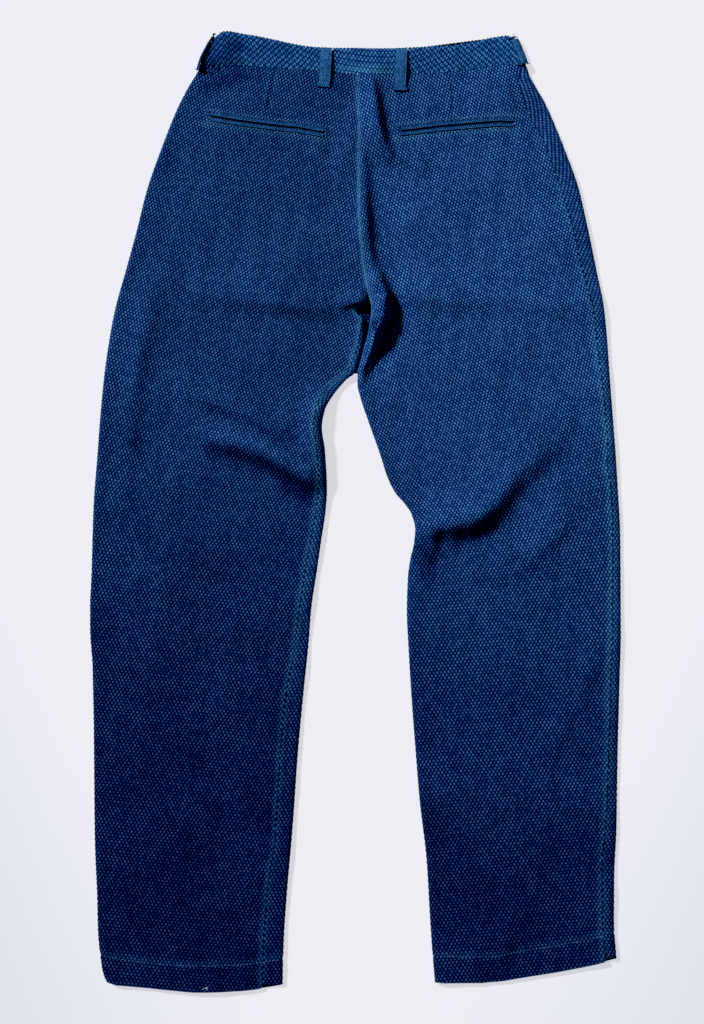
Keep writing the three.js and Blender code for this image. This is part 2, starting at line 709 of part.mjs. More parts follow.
// Belt loops on the back: straps over the waistband that bow up between their ends.
for (const side of ['left', 'right']) {
  const { top, foot } = backLoop[side];
  const plan = [];
  for (let i = 0; i < loop.rows; i += 1) {
    const t = i / (loop.rows - 1);
    const row = [];
    for (let j = 0; j < loop.columns; j += 1) {
      const offset = loop.width * (j / (loop.columns - 1) - 0.5);
      row.push([mix(top[0], foot[0], t) + offset, waistTopY - mix(top[1], foot[1], t)]);
    }
    plan.push(row);
  }
  const bow = (i) => loop.bow * Math.sin((i / (loop.rows - 1)) * Math.PI);
  const under = ['waistband_back', `back_${side}`];
  addPiece(`loop_back_${side}`, strip(plan, under, loop.thickness, bow), material.loop);
}

// Belt loops at the sides: straps that follow the waistband's edge over to the back.
for (const side of ['left', 'right']) {
  const knotsOf = (ring) => {
    if (side === 'left') return [-sideLoop.under, sideLoop.over];
    const middle = (ring.outerTop + ring.outerUnder) / 2;
    return [middle - sideLoop.over, middle + sideLoop.under];
  };
  const face = bandPoints(sideLoop.shares, knotsOf, [sideLoop.columns]);
  const low = movedIn(face, () => -sideLoop.lift);
  const high = movedIn(face, () => -sideLoop.lift - loop.thickness);
  addPiece(`loop_side_${side}`, shell(high, low, false), material.loop);
}

export default group;
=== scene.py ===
import math
import random

import bmesh
import bpy
import numpy as np
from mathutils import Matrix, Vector


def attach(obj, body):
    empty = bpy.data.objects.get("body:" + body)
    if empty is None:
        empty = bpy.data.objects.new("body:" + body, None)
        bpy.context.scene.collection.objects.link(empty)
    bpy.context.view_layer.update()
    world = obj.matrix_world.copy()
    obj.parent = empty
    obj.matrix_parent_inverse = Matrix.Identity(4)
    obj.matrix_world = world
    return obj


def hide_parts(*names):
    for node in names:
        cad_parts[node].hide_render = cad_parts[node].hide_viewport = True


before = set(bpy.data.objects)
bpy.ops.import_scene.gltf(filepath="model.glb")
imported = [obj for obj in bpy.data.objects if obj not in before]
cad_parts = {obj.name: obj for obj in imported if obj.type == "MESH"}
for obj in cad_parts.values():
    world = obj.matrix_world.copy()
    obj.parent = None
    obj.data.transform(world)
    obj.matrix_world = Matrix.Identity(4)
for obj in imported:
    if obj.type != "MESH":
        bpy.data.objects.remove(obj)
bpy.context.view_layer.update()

# Sashiko trousers lying flat, back up. Lengths are in metres: a table or value that is
# written in millimetres is multiplied by MM. "down" is the distance from the top of the
# waist towards the hems, "across" is X, and the floor is z = 0.
MM = 0.001
WAIST_TOP_Y = 509.2 * MM
SEAM_GAP = 0.3 * MM
WAIST_SEAM_GAP = 0.1 * MM
LEAST_HEIGHT = 4.5 * MM
UNDER_INSET = 18 * MM
BAND_RAISE = 1.1 * MM
CLOTH_THICKNESS = 1.8 * MM
HEM_THICKNESS = 2.6 * MM
HEM_DEPTH = 28 * MM
PUFF_HEIGHT, PUFF_WIDTH = 1.6 * MM, 12 * MM
TINY = 1e-12

# The weave: staggered rice grains, each PITCH wide in rows ROW apart, and the depth of the
# ground between them. The fade edges are how far the worn colour reaches from a leg's inner
# seam and from its outer seam.
PITCH = 3.87 * MM
ROW = 3.10 * MM
GRAIN_DEPTH = 0.9 * MM
FADE_EDGE = 2.6 * MM
OUTSEAM_FADE_EDGE = 3.4 * MM

# Camera: straight above, at the photograph's scale.
METRES_PER_PIXEL = 1.06 * MM
PHOTO_HEIGHT = 1024
PHOTO_CENTRE = (-3.5 * MM, -0.2 * MM)
CAMERA_HEIGHT = 2.6
SENSOR = 36.0


def table(*rows):
    return MM * np.array(rows, float)


# Outer and inner edges of each side seen from above: rows of (down, across).
OUTER = {
    "left": table(
        (2, -143), (11, -152), (18, -156.5), (30, -163), (43, -167.5), (62, -178.4),
        (83, -189), (126, -206), (168, -220.8), (211, -231.6), (253, -243), (290, -253.4),
        (322, -259.8), (361, -265.6), (401, -269.6), (444, -272.9), (507, -277.6),
        (571, -279.6), (613, -281.2), (634, -281.2), (677, -278.4), (762, -277),
        (846, -276.4), (910, -274), (953, -272.7), (985, -269.5), (1000, -266.5),
        (1008, -262.6),
    ),
    "right": table(
        (3, 163), (11, 171.5), (18, 174.5), (28, 178.5), (37, 181.5), (48, 184.8),
        (58, 190.2), (79, 202.4), (104, 213.3), (126, 222), (168, 237), (211, 246.8),
        (253, 255.6), (290, 263), (330, 267.2), (374, 270.2), (422, 274), (486, 278.4),
        (540, 281), (634, 281.4), (698, 279.8), (762, 278.2), (846, 276.8), (900, 274.4),
        (940, 274.2), (982, 276.8),
    ),
}
CENTRE_BACK = ((35, 1.8), (62, 2.5), (104, 3.8), (162, 3.6), (197, 3.9), (220, 5.7), (253, 9))
INNER = {
    "left": table(
        *CENTRE_BACK, (276, 12.6), (287, 12), (292, 6), (296, 1), (300, 3), (305, 9),
        (322, 9.4), (334, 8.4), (349, 4.8), (361, 1.3), (370, -9.6), (385, -22.2),
        (401, -31.4), (420, -34.8), (444, -31.6),
        (486, -29.4), (507, -30.8), (540, -35.6), (571, -40), (613, -46.2), (645, -48.6),
        (698, -54), (762, -60), (846, -66), (910, -71.6), (953, -74.6), (985, -75.9),
        (1010, -76.3),
    ),
    "right": table(
        *CENTRE_BACK, (276, 13), (290, 16.4), (300, 16.6), (311, 14.8), (322, 12.6),
        (334, 9.2), (349, 5.4), (361, 2.2), (374, 1.8), (390, 5.4), (414, 13.5), (450, 26.2),
        (473, 33.6), (491, 43), (501, 52), (512, 59), (528, 62.8), (542, 61.6),
        (560, 57.6), (580, 55), (615, 54), (650, 55.6), (701, 58.6), (762, 63.2),
        (815, 67.6), (879, 75), (937, 78.4), (975, 81), (1008, 83.8),
    ),
}

# Leg seams, measured round the cloth from the edge that they are near: (down, inset).
INSEAM = {
    "left": table(
        (288, 0), (300, 2.4), (312, 6), (330, 9), (349, 11), (377, 16), (404, 15.6),
        (457, 15), (493, 13), (560, 15), (645, 16.4), (698, 20.8), (767, 21.8),
        (852, 20.8), (912, 23.8), (1010, 24.4),
    ),
    "right": table((288, 0), (300, -2.4), (312, -6), (330, -9), (377, -16), (450, -20),
                   (1010, -20)),
}
OUTSEAM_RIGHT = table(
    (35, 9), (50, 15), (65, 22), (90, 25.6), (119, 21), (138, 23), (200, 20), (250, 18),
    (330, 14), (428, 10.6), (461, 13), (479, 10.4), (670, 12.6), (791, 12.6), (876, 16),
    (982, 15),
)

# Height of the upper face: (down, height). The inner edges are open above the crotch, where
# the two sides meet, and closed round the legs below it: (down), and the share closed there.
BODY_HEIGHT = table((0, 7.4), (60, 6.6), (280, 6.6), (360, 6.2), (560, 5.6), (900, 5.2),
                    (975, 5.6), (990, 7), (1020, 7.4))
CROTCH_DOWN = table((0, 0), (252, 0), (290, 1), (1020, 1))[:, 0]
CROTCH_CLOSING = (0.0, 0.0, 1.0, 1.0)

# Waist and hem edges: rows of (across, down).
WAIST_TOP = table((-146, 1.6), (-135, 0.9), (-117, 3.8), (-91, 8.6), (-69, 13.4), (-48, 17),
                  (-20, 18.2), (4, 18.4), (37, 19), (70, 17.6), (99, 15.8), (128, 11),
                  (151, 6.5), (170, 4.8))
WAIST_SEAM = table((-168, 43), (-150, 38.6), (-130, 36.8), (-99, 38.3), (-68, 40.6),
                   (-44, 41.8), (2, 46), (79, 45), (132, 39), (157, 36.4), (182, 36.6))
FRONT_TOP = table((-144, 2.4), (2, 26), (164, 5.4))
FRONT_SEAM = table((-168, 43), (2, 54), (182, 36.6))
HEM = {
    "left": table((-266, 1005.5), (-263, 1007.6), (-219, 1013.8), (-170, 1017.5),
                  (-121, 1016), (-76, 1010)),
    "right": table((83, 1007.6), (145, 1007.6), (164, 1004), (203, 998), (242, 990.7),
                   (278, 982)),
}

# Folds: width on the upper left side, width on the lower right side, then the crest's points
# as (across, down, height). A trough has negative heights. A fold's influence ends after
# FOLD_REACH widths.
FOLD_REACH = 2.6
FOLDS = [
    (26, 6, [(7, 94, 2.5), (8, 130, 3.6), (9, 165, 5), (10, 190, 8), (12, 215, 9), (15, 240, 8),
             (19, 262, 6)]),
    (12, 20, [(26, 126, -1.6), (30, 195, -2.4), (38, 250, -2)]),
    (13, 6, [(17, 56, 6), (21, 78, 11), (24, 100, 12), (29, 118, 9), (34, 132, 4)]),
    (16, 9, [(28, 128, 2), (46, 134, 4), (66, 142, 3)]),
    (13, 5.5, [(22, 250, 3), (27, 268, 14), (32, 281, 19), (31, 292, 20), (28, 303, 20),
               (20.5, 320, 18), (14.5, 336, 14), (9, 352, 9), (6, 368, 3)]),
    (9, 9, [(46, 262, -2), (47, 285, -4), (52, 300, -5), (44, 322, -5), (32, 343, -4),
            (18, 362, -2)]),
    (10, 3.5, [(-12, 291, 2), (-2, 288, 5), (8, 287, 6), (15, 279, 4)]),
    (34, 15, [(72, 525, 4), (84, 524, 13), (98, 522, 17), (118, 519, 19), (133, 512, 18), (148, 497, 15),
              (159, 480, 12), (174, 464, 9), (192, 446, 6), (206, 433, 3)]),
    (22, 10, [(220, 524, 4), (186, 560, 4), (158, 576, 3)]),
    (16, 9, [(-175, 388, 3), (-135, 395, 7), (-108, 407, 10), (-78, 425, 8), (-62, 438, 2)]),
    (30, 10, [(-200, 422, 2), (-160, 432, 5), (-122, 439, 11), (-97, 448, 16), (-74, 461, 17),
             (-56, 472, 12)]),
    (13, 12, [(-38, 388, 6), (-39, 408, 14), (-41, 430, 14), (-43, 454, 7), (-46, 476, 3)]),
    (26, 12, [(-160, 279, 3), (-108, 285, 7), (-76, 289, 8.5), (-47, 292, 8), (-20, 294, 4)]),
    (24, 12, [(58, 282, 3), (100, 284, 4.5), (160, 288, 4), (230, 291, 3), (258, 294, 2)]),
    (20, 12, [(-205, 262, 3), (-217, 300, 4.5), (-229, 350, 4.5), (-236, 400, 4),
              (-240, 450, 3), (-242, 500, 1)]),
    (22, 11, [(248, 676, 3), (223, 728, 3), (211, 760, 2)]),
    (20, 11, [(187, 900, 2.4), (172, 942, 2.4), (158, 972, 2)]),
    (12, 12, [(-8, 72, -2.4), (-18, 105, -3.2), (-30, 140, -2.4)]),
    (7, 12, [(-149, 6, -1.5), (-154, 22, -3), (-156, 44, -3), (-146, 58, -2)]),
]

# Narrow creases pressed into the cloth: depth, width, then the line's points.
CREASES = [
    (3.4, 4.5, [(-6, 296), (4, 298), (12, 294), (16, 287)]),
    (3.0, 4.5, [(12, 294), (14, 304), (13, 318)]),
    (2.2, 5.0, [(-165, 47), (-152, 42), (-136, 39), (-118, 39)]),
    (1.6, 5.0, [(-32, 84), (-26, 110), (-24, 134)]),
    (3.4, 6.5, [(92, 534), (91, 548), (86, 562)]),
]

# Painted shade, mostly in the troughs beside folds and in the crotch, and painted highlights on
# fold crests: change of fade, width, then the line's points.
PAINTED_SHADE_AND_HIGHLIGHT = [
    (-0.34, 9.5, [(-150, 446), (-120, 451), (-95, 461), (-71, 475), (-49, 487)]),
    (-0.26, 8.0, [(-74, 484), (-54, 494)]),
    (0.24, 5.0, [(-150, 428), (-110, 434), (-88, 446), (-66, 458), (-52, 464)]),
    (-0.26, 6.5, [(-152, 401), (-108, 417), (-82, 433)]),
    (-0.42, 7.0, [(86, 533), (114, 535), (138, 526), (159, 508), (170, 490), (185, 476),
                  (203, 458), (217, 444)]),
    (0.16, 7.0, [(90, 512), (120, 508), (138, 498), (150, 482), (166, 462)]),
    (-0.34, 11.0, [(62, 546), (74, 556), (80, 574)]),
    (-0.40, 7.0, [(88, 538), (91, 556)]),
    (-0.60, 6.0, [(38, 282), (41, 300), (34, 322), (24, 344)]),
    (-0.22, 12.0, [(168, 560), (140, 580)]),
    (-0.55, 4.5, [(25, 60), (30, 82), (34, 108), (40, 130)]),
    (-0.40, 4.0, [(20, 172), (22, 200), (24, 222)]),
    (-0.30, 3.5, [(162, 62), (176, 92), (186, 120)]),
    (-0.30, 9.0, [(-152, 58), (-136, 50), (-118, 46)]),
]

# Slow waves over all the cloth: height, length from crest to crest, direction in degrees.
WAVES = ((0.8, 118, 24), (0.7, 83, 68), (0.6, 59, 118), (0.45, 41, 151), (0.3, 27, 7))

# The weave's rows slope across each side: (down, slope), and its size changes a little
# from hips to hems: (down, share).
SLOPE_DOWN = {
    "left": (0, 280, 390, 480, 600, 850, 1030),
    "right": (0, 280, 420, 520, 600, 850, 1030),
}
SLOPE = {
    "left": (0.39, 0.39, 0.277, 0.20, 0.13, 0.105, 0.09),
    "right": (-0.35, -0.35, -0.32, -0.16, -0.065, -0.08, -0.08),
}
WEAVE_DOWN = (0, 450, 700, 1030)
WEAVE_SIZE = (0.945, 0.97, 1.03, 1.06)
WEAVE_MIDDLE = {"left": -150 * MM, "right": 165 * MM}

# Faded light blue at the hips to dark at the hems: (down, share), for each side.
SEAM_WEAR_DOWN = (30, 100, 170, 290, 330, 430, 1000)
INNER_WEAR = (0.3, 0.6, 1.0, 1.0, 0.5, 0.55, 0.5)
OUTER_WEAR = (0.0, 0.0, 0.1, 0.15, 0.2, 0.45, 0.4)
FADE_DOWN = (0, 180, 280, 380, 480, 620, 700, 850, 1030)
FADE = {
    "left": (0.54, 0.58, 0.60, 0.53, 0.42, 0.25, 0.16, 0.05, 0.02),
    "right": (0.92, 0.96, 0.97, 0.86, 0.70, 0.46, 0.34, 0.14, 0.06),
}

POCKET = {
    "left": table((-154, 91), (-125, 95.8), (-93, 99.9), (-60, 103.1), (-34, 108)),
    "right": table((47.5, 106.8), (88, 101.7), (127, 98.7), (152, 96.6), (167, 97)),
}
DART = {
    "left": table((-83.5, 40), (-88.7, 61), (-92, 83)),
    "right": table((100, 43), (103.6, 71), (102.7, 88)),
}
WELT_HEIGHT, WELT_RISE, WELT_FADE, SLIT = 4.8 * MM, 1.5 * MM, 0.8, 0.9 * MM
LOOP_WIDTH, LOOP_BOW, LOOP_THICKNESS, LOOP_FADE = 12 * MM, 2.4 * MM, 1.6 * MM, 0.8
BACK_LOOP = {
    "left": table((-30.5, 18.6), (-33, 60)),
    "right": table((49, 19.6), (47, 64)),
}
SIDE_LOOP_UNDER, SIDE_LOOP_LIFT, SIDE_LOOP_LENGTH = 3 * MM, 1.9 * MM, 40 * MM
SIDE_LOOP_OVER = {"left": 4.5 * MM, "right": 10 * MM}
SIDE_LOOP_SHARES = (0.13, 0.97)
SIDE_LOOP_FADE = {"left": 0.0, "right": 1.0}
TACK_LIFT, TACK_FADE = 2.8 * MM, 0.6
TACK = {
    "left": (table((-41, 56.6), (-27.4, 56.6)), 2.9 * MM),
    "right": (table((39.8, 61.8), (54.4, 61.8)), 2.2 * MM),
}

# Sewn detail and wear beside a seam, edge or line, as stripes: (amount, distance, width).
SEAM_RISE = (0.9 * MM, 0.35 * MM)
SEAM_ROLL, SEAM_GROOVE = (1, 1.5 * MM, 2.6 * MM), (0.2 * MM, 0, 0.7 * MM)
HEM_CREASE, WAIST_CREASE = (1.0 * MM, HEM_DEPTH, 1.2 * MM), (0.3 * MM, 0, 1.4 * MM)
DART_CREASE, DART_ROLL, DART_REACH = (1.6 * MM, 0, 1.8 * MM), (0.8 * MM, -3.4 * MM, 2.6 * MM), 8 * MM
SLIT_CREASE = (2.0 * MM, 0, 1.1 * MM)
HEM_WEAR, HEM_FOLD_WEAR = (0.2, 0, FADE_EDGE), (0.35, 3 * MM, 2 * MM)
POCKET_WEAR, POCKET_WEAR_REACH = ((0.3, 8 * MM, 3 * MM), (0.2, -7 * MM, 2 * MM)), 12 * MM
BAND_CREASES = ((0.8 * MM, 0, 0.05), (0.4 * MM, 0.86, 0.03), (0.6 * MM, 1, 0.04))
BAND_WEAR, BAND_CENTRE_WEAR = ((0.18, 0.93, 0.08), (0.2, 0, 0.06)), (0.7, 0.86, 0.16)
BAND_CENTRE, BAND_CENTRE_WIDTH = 4 * MM, 30 * MM
STRAP_STITCH, STRAP_WEAR = (0.3 * MM, -1.6 * MM, 0.5 * MM), (0.5, 0, 0.9 * MM)
STRAP_EDGE, STRAP_ROUNDING = 0.5 * MM, 5

# Loose pale thread ends: (across, down), how far they reach, and how many.
TUFTS = ((54.4, 20, 3, 6), (-25, 21, 2.6, 5), (169, 9, 3, 9), (167, 6, 2.4, 5), (-158, 1013, 3, 5))
TUFT_RADIUS, TUFT_LIFT, TUFT_SEED = 0.22 * MM, 1.4 * MM, 7
TUFT_POINTS, TUFT_SPREAD, TUFT_RISE, TUFT_CURL = 5, 1.2, (-0.2, 0.5), 0.7
STITCH, STITCH_STEP, STITCH_RADIUS = 2.0 * MM, 3.4 * MM, 0.34 * MM
TUBE_SIDES, TUBE_END = 6, 0.45
POCKET_STITCHES, POCKET_BOX = 6.6 * MM, 2.6 * MM
HEM_STITCH_DOWN, HEM_STITCH_INSET, HEM_POINTS = 970 * MM, 5 * MM, 60
CENTRE_FRONT = 2 * MM
CROTCH_AT = 290 * MM
OUTSEAM_CREASE, OUTSEAM_CREASE_WIDTH, OUTSEAM_FADES = 3.0 * MM, 2.2 * MM, 200 * MM
CROTCH_GAP, CROTCH_OVERLAP = (246 * MM, 363 * MM), 9 * MM
CROTCH_THICKNESS, CROTCH_HEIGHT = 0.7 * MM, 1.3 * MM
FRONT_SLOPE = 0.3
STRAP_WEAVE, STRAP_DEPTH = 0.55, 0.35 * MM

# Waistband: where its left and right edges are read in OUTER, how soon it rounds up from its
# edges, and the slope of its weave rows at places across. BAND_SHADE is painted shade on the
# band's left end, given like a row of the painted shade and highlights.
BAND_LEFT, BAND_RIGHT = (2 * MM, 41 * MM), (4 * MM, 37 * MM)
BAND_ROUNDED, BAND_STEPS, BAND_REACH = 0.12, 101, 400
BAND_SLOPE_AT = (-150, -60, -20, 30, 70, 170)
BAND_SLOPE = (0.45, 0.45, 0.25, 0.0, -0.40, -0.50)
BAND_FADE_AT, BAND_FADE = (-150, 150), (0.85, 1.1)
BAND_SHADE = (-1, 10, [(-160, 36), (-146, 32), (-126, 16)])
SCALLOP = 0.9 * MM
HALF_ROW_RISE, EDGE_RISE = 0.5, 0.8
FLOOR_GAP = 0.05 * MM
BUTTON = {
    "segments": 40, "across": -12 * MM, "down": 44 * MM, "radius": 8 * MM, "thickness": 1.2 * MM,
    "hole": 0.9 * MM, "hole_at": 1.7 * MM, "seat": 8.6 * MM, "seat_depth": 1.4 * MM,
    "eased": 0.25 * MM, "eased_from": 40,
}

# How the shapes are worked out: the first guess and rounds for a turned edge, the step for a
# normal, the rounds for a weave place and for an outline, and the least gap inside it. The
# spans are the weave coordinates, along and across, between which a piece is looked for.
FIRST_RADIUS, RADIUS_ROUNDS = 4 * MM, 6
NORMAL_STEP = 0.4 * MM
WEAVE_ROUNDS, OUTLINE_ROUNDS, OUTLINE_CLEAR = 14, 20, 0.3
PANEL_SPAN = ((-0.36, 0.36), (-0.12, 1.2))
BAND_SPAN = ((-0.26, 0.26), (-0.12, 0.12))
STRAP_SPAN = ((-0.01, 0.3), (-0.03, 0.03))
CROTCH_SPAN = ((-0.1, 0.1), (0.2, 0.4))

# Colours of each cloth, dark and faded: of the ground, of the middle tone, of the grains and
# of what is worn. Then how much one grain differs from another.
CLOTH_COLOURS = {
    "sashiko_cloth": (
        ((6, 4, 33), (10, 20, 71)),
        ((7, 15, 51), (14, 52, 111)),
        ((43, 67, 118), (89, 143, 200)),
        ((46, 86, 134), (88, 160, 206)),
        0.18,
    ),
    "waistband_cloth": (
        ((5, 12, 54), (11, 26, 78)),
        ((10, 38, 86), (20, 64, 118)),
        ((48, 94, 150), (84, 144, 200)),
        ((64, 124, 174), (80, 150, 196)),
        0.2,
    ),
    "loop_cloth": (
        ((6, 24, 70), (14, 46, 100)),
        ((14, 50, 100), (36, 92, 146)),
        ((50, 100, 150), (96, 158, 208)),
        ((60, 124, 172), (70, 134, 182)),
        0.3,
    ),
}

# The cloth's look. A ramp is (low, high, result at low, result at high).
GRAIN_HALF, GRAIN_SHAPE = (0.35, 0.54), (1.5, 0.0, 0.0, 1.0)
THREADS, THREAD_DETAIL = (700, 2200), 2
THREADS_IN_GRAIN, THREADS_ON_GROUND = (0.3, 0.7, 0.7, 1.3), (0.45, 0.75, 0.0, 0.24)
PATCHES, PATCH_FADE = (9, 3), (0.3, 0.7, -0.08, 0.08)
TO_MIDDLE, TO_GRAIN, RUBBED = (0.0, 0.5, 0.0, 1.0), (0.5, 1.3, 0.0, 1.0), (0.2, 0.9, 0.1, 1.0)
THREAD_RELIEF, CLOTH_RELIEF, PLAIN_RELIEF = 0.5, (0.5, 0.4 * MM), (0.3, 0.1 * MM)
CLOTH_ROUGHNESS, PLAIN_SHEEN = 0.9, 0.5
PLAIN_DETAIL, PLAIN_MIX = 3, (0.35, 0.65, 0.0, 1.0)

# Paper floor, with painted shade towards the near corners and a glow of painted light that keeps
# shadows on it pale, and the light.
FLOOR_SIZE = 6
PAPER, PAPER_CORNER_SHADE = (238, 238, 245), (222, 226, 235)
CORNER_WIDTH, CORNER_NEAR, CORNER_SHADE = 0.5, -1.2, (0.55, 1.35, 0.0, 1.0)
PAPER_GLOW = 0.76
SKY, SKY_STRENGTH = (252, 253, 255), 0.09
KEY_FROM, KEY_ENERGY, KEY_SOFTNESS = (-0.76, 0.65, 0.84), 4.45, 6
BLACK_LEVEL = 0.006

# Cut size of the cloth that shows in each piece: width, length and area, in metres.
SHEETS = {
    "front_left": (0.267, 0.980, 0.2205),
    "front_right": (0.272, 0.978, 0.2250),
    "back_left": (0.289, 0.980, 0.2303),
    "back_right": (0.278, 0.978, 0.2230),
    "crotch_fold": (0.037, 0.117, 0.0026),
    "waistband_front_left": (0.150, 0.048, 0.0052),
    "waistband_front_right": (0.155, 0.048, 0.0053),
    "waistband_back": (0.380, 0.038, 0.0118),
    "loop_back_left": (0.0152, 0.0447, 0.00067),
    "loop_back_right": (0.0152, 0.0477, 0.00072),
    "loop_side_left": (0.0107, 0.0432, 0.00046),
    "loop_side_right": (0.0162, 0.0432, 0.00069),
}


def along(rows, place):
    """Values of a table at places, on a curve through its rows that never overshoots them."""
    x, y = rows[:, 0], rows[:, 1]
    step = np.diff(x)
    slope = np.diff(y) / step
    tangent = np.empty_like(y)
    tangent[0], tangent[-1] = slope[0], slope[-1]
    before, after = slope[:-1], slope[1:]
    same = before * after > 0
    total = np.where(same, before + after, 1)
    tangent[1:-1] = np.where(same, 2 * before * after / total, 0)
    place = np.clip(place, x[0], x[-1])
    i = np.clip(np.searchsorted(x, place, side="right") - 1, 0, len(step) - 1)
    t = (place - x[i]) / step[i]
    t2, t3 = t * t, t * t * t
    return (
        (2 * t3 - 3 * t2 + 1) * y[i]
        + (t3 - 2 * t2 + t) * step[i] * tangent[i]
        + (3 * t2 - 2 * t3) * y[i + 1]
        + (t3 - t2) * step[i] * tangent[i + 1]
    )


def straight(rows, place):
    return np.interp(place, rows[:, 0], rows[:, 1])


def by_mm(place, places, values):
    """Values at a place, straight between places given in millimetres."""
    return np.interp(place, MM * np.array(places), values)


def smooth(share):
    share = np.clip(share, 0, 1)
    return share * share * (3 - 2 * share)


def bump(distance, width):
    return np.exp(-((distance / width) ** 2))


def stripes(distance, *rows):
    """Sum of soft stripes beside a line: rows of (amount, distance, width)."""
    return sum(amount * bump(distance - at, width) for amount, at, width in rows)


def running(steps):
    """Distance run after each step, from zero."""
    return np.concatenate([[0], np.cumsum(steps)])


def runs_along(path):
    return running(np.linalg.norm(np.diff(path, axis=0), axis=1))


def on_path(path, runs, run):
    """Across and down of places on a path, by distance run."""
    return [np.interp(run, runs, path[:, k]) for k in (0, 1)]


def placed(across, down, height):
    return np.stack([across, WAIST_TOP_Y - down, height], -1)


def from_line(points, across, down):
    """Distance from the nearest point of a line, that point's offset, the line's own third
    value there, and the side: 1 to the lower right of the line, -1 to the upper left."""
    points = np.asarray(points)
    values = points[:, 2] if points.shape[1] > 2 else np.zeros(len(points))
    nearest = np.full(np.shape(across), np.inf)
    off_x, off_y, value, side = (np.zeros_like(nearest) for _ in range(4))
    for k in range(len(points) - 1):
        x0, y0 = points[k, :2]
        dx, dy = points[k + 1, :2] - points[k, :2]
        t = np.clip(((across - x0) * dx + (down - y0) * dy) / (dx * dx + dy * dy), 0, 1)
        ox, oy = across - x0 - t * dx, down - y0 - t * dy
        distance = np.hypot(ox, oy)
        closer = distance < nearest
        way = math.copysign(1, dx - dy) / math.hypot(dx, dy)
        here = way * (dx * oy - dy * ox) / np.maximum(distance, TINY)
        nearest = np.where(closer, distance, nearest)
        off_x, off_y = np.where(closer, ox, off_x), np.where(closer, oy, off_y)
        value = np.where(closer, values[k] + t * (values[k + 1] - values[k]), value)
        side = np.where(closer, here, side)
    return nearest, off_x, off_y, value, side


def with_lines(total, rows, across, down, scale=1):
    """A total changed along soft lines: rows of (amount, width, the line's points)."""
    for amount, width, line in rows:
        distance = from_line(table(*line), across, down)[0]
        total = total + scale * amount * bump(distance, MM * width)
    return total


def fold_heights(across, down):
    total = np.zeros(np.shape(across))
    for height, length, turned in WAVES:
        angle = math.radians(turned)
        phase = (across * math.cos(angle) + down * math.sin(angle)) / (MM * length) * 2 * math.pi
        total += MM * height * np.sin(phase + turned)
    for lit, shaded, crest in FOLDS:
        crest = table(*crest)
        reach = FOLD_REACH * MM * max(lit, shaded)
        low, high = crest.min(0) - reach, crest.max(0) + reach
        near = (across > low[0]) & (across < high[0]) & (down > low[1]) & (down < high[1])
        distance, _, _, height, side = from_line(crest, across[near], down[near])
        width = MM * (lit + (shaded - lit) * smooth((1 + side) / 2))
        total[near] += height * bump(distance, width)
    return total


class Turn:
    """One turn of cloth round the garment at each row: from the middle of the inner edge over
    the top, round the outer edge and back underneath, measured in distance run."""

    def __init__(self, rows, inner, outer, closing, height):
        self.rows, self.inner, self.outer, self.closing = rows, inner, outer, closing
        self.height = height
        self.out = 1 if outer[0] > inner[0] else -1
        self.small = self.radius(inner, self.out)
        self.large = self.radius(outer, -self.out)

    def radius(self, edge, way):
        found = np.full(len(edge), FIRST_RADIUS)
        for _ in range(RADIUS_ROUNDS):
            found = self.height(edge + way * found, self.rows) / 2
        return found

    def at(self, values, row):
        return np.interp(row, self.rows, values)

    def marks(self, row):
        """Distances where the top starts and ends, where the underside starts and ends, and
        of the whole turn."""
        small, large = self.at(self.small, row), self.at(self.large, row)
        span = self.out * (self.at(self.outer, row) - self.at(self.inner, row)) - small - large
        first = math.pi / 2 * small
        second = first + span
        third = second + math.pi * large
        fourth = third + span
        return first, second, third, fourth, fourth + first

    def over(self, across, row):
        """Distance of the cloth that lies at a given X on top, carried on past the edges."""
        start = self.at(self.inner, row) + self.out * self.at(self.small, row)
        return self.marks(row)[0] + self.out * (across - start)

    def under(self, across, row):
        """The same for the cloth underneath."""
        start = self.at(self.outer, row) - self.out * self.at(self.large, row)
        return self.marks(row)[2] + self.out * (start - across)

    def section(self, turn, row):
        """X and height of the cloth's outer face at distances round the turn."""
        inner, outer = self.at(self.inner, row), self.at(self.outer, row)
        small, large = self.at(self.small, row), self.at(self.large, row)
        closing = self.at(self.closing, row)
        first, second, third, fourth, end = self.marks(row)
        turn = np.where(turn < 0, turn + end, np.where(turn > end, turn - end, turn))
        angle = np.clip(turn, 0, first) / small
        run = np.clip(turn, first, second) - first
        x_top = inner + self.out * (small * (1 - np.cos(angle)) + run)
        z_top = self.height(x_top, row)
        z_curl = small * (1 + np.sin(angle))
        z_top = np.where(turn < first, z_top + (z_curl - z_top) * closing, z_top)
        around = np.clip(turn - second, 0, math.pi * large) / large
        x_out = outer - self.out * large * (1 - np.sin(around))
        z_out = large * (1 + np.cos(around))
        x_under = outer - self.out * (large + turn - third)
        tuck = np.clip(turn - fourth, 0, first) / small
        x_tuck = inner + self.out * small * (1 - np.sin(tuck))
        z_tuck = small * (1 - np.cos(tuck)) * closing
        parts = [turn < second, turn < third, turn < fourth]
        x = np.select(parts, [x_top, x_out, x_under], x_tuck)
        z = np.select(parts, [z_top, z_out, np.zeros_like(x)], z_tuck)
        return x, z


def cloth_height(across, down, inner, outer, closing):
    """Height of the upper face of the back, with its edges puffed up, folds and creases."""
    low, high = np.minimum(inner, outer), np.maximum(inner, outer)
    across = np.clip(across, low, high)
    puff = bump(outer - across, PUFF_WIDTH) + closing * bump(across - inner, PUFF_WIDTH)
    spare = along(BODY_HEIGHT, down) + PUFF_HEIGHT * puff + fold_heights(across, down) - LEAST_HEIGHT
    creases = with_lines(np.zeros(np.shape(across)), CREASES, across, down, MM)
    return LEAST_HEIGHT + (spare + np.hypot(spare, MM)) / 2 - creases


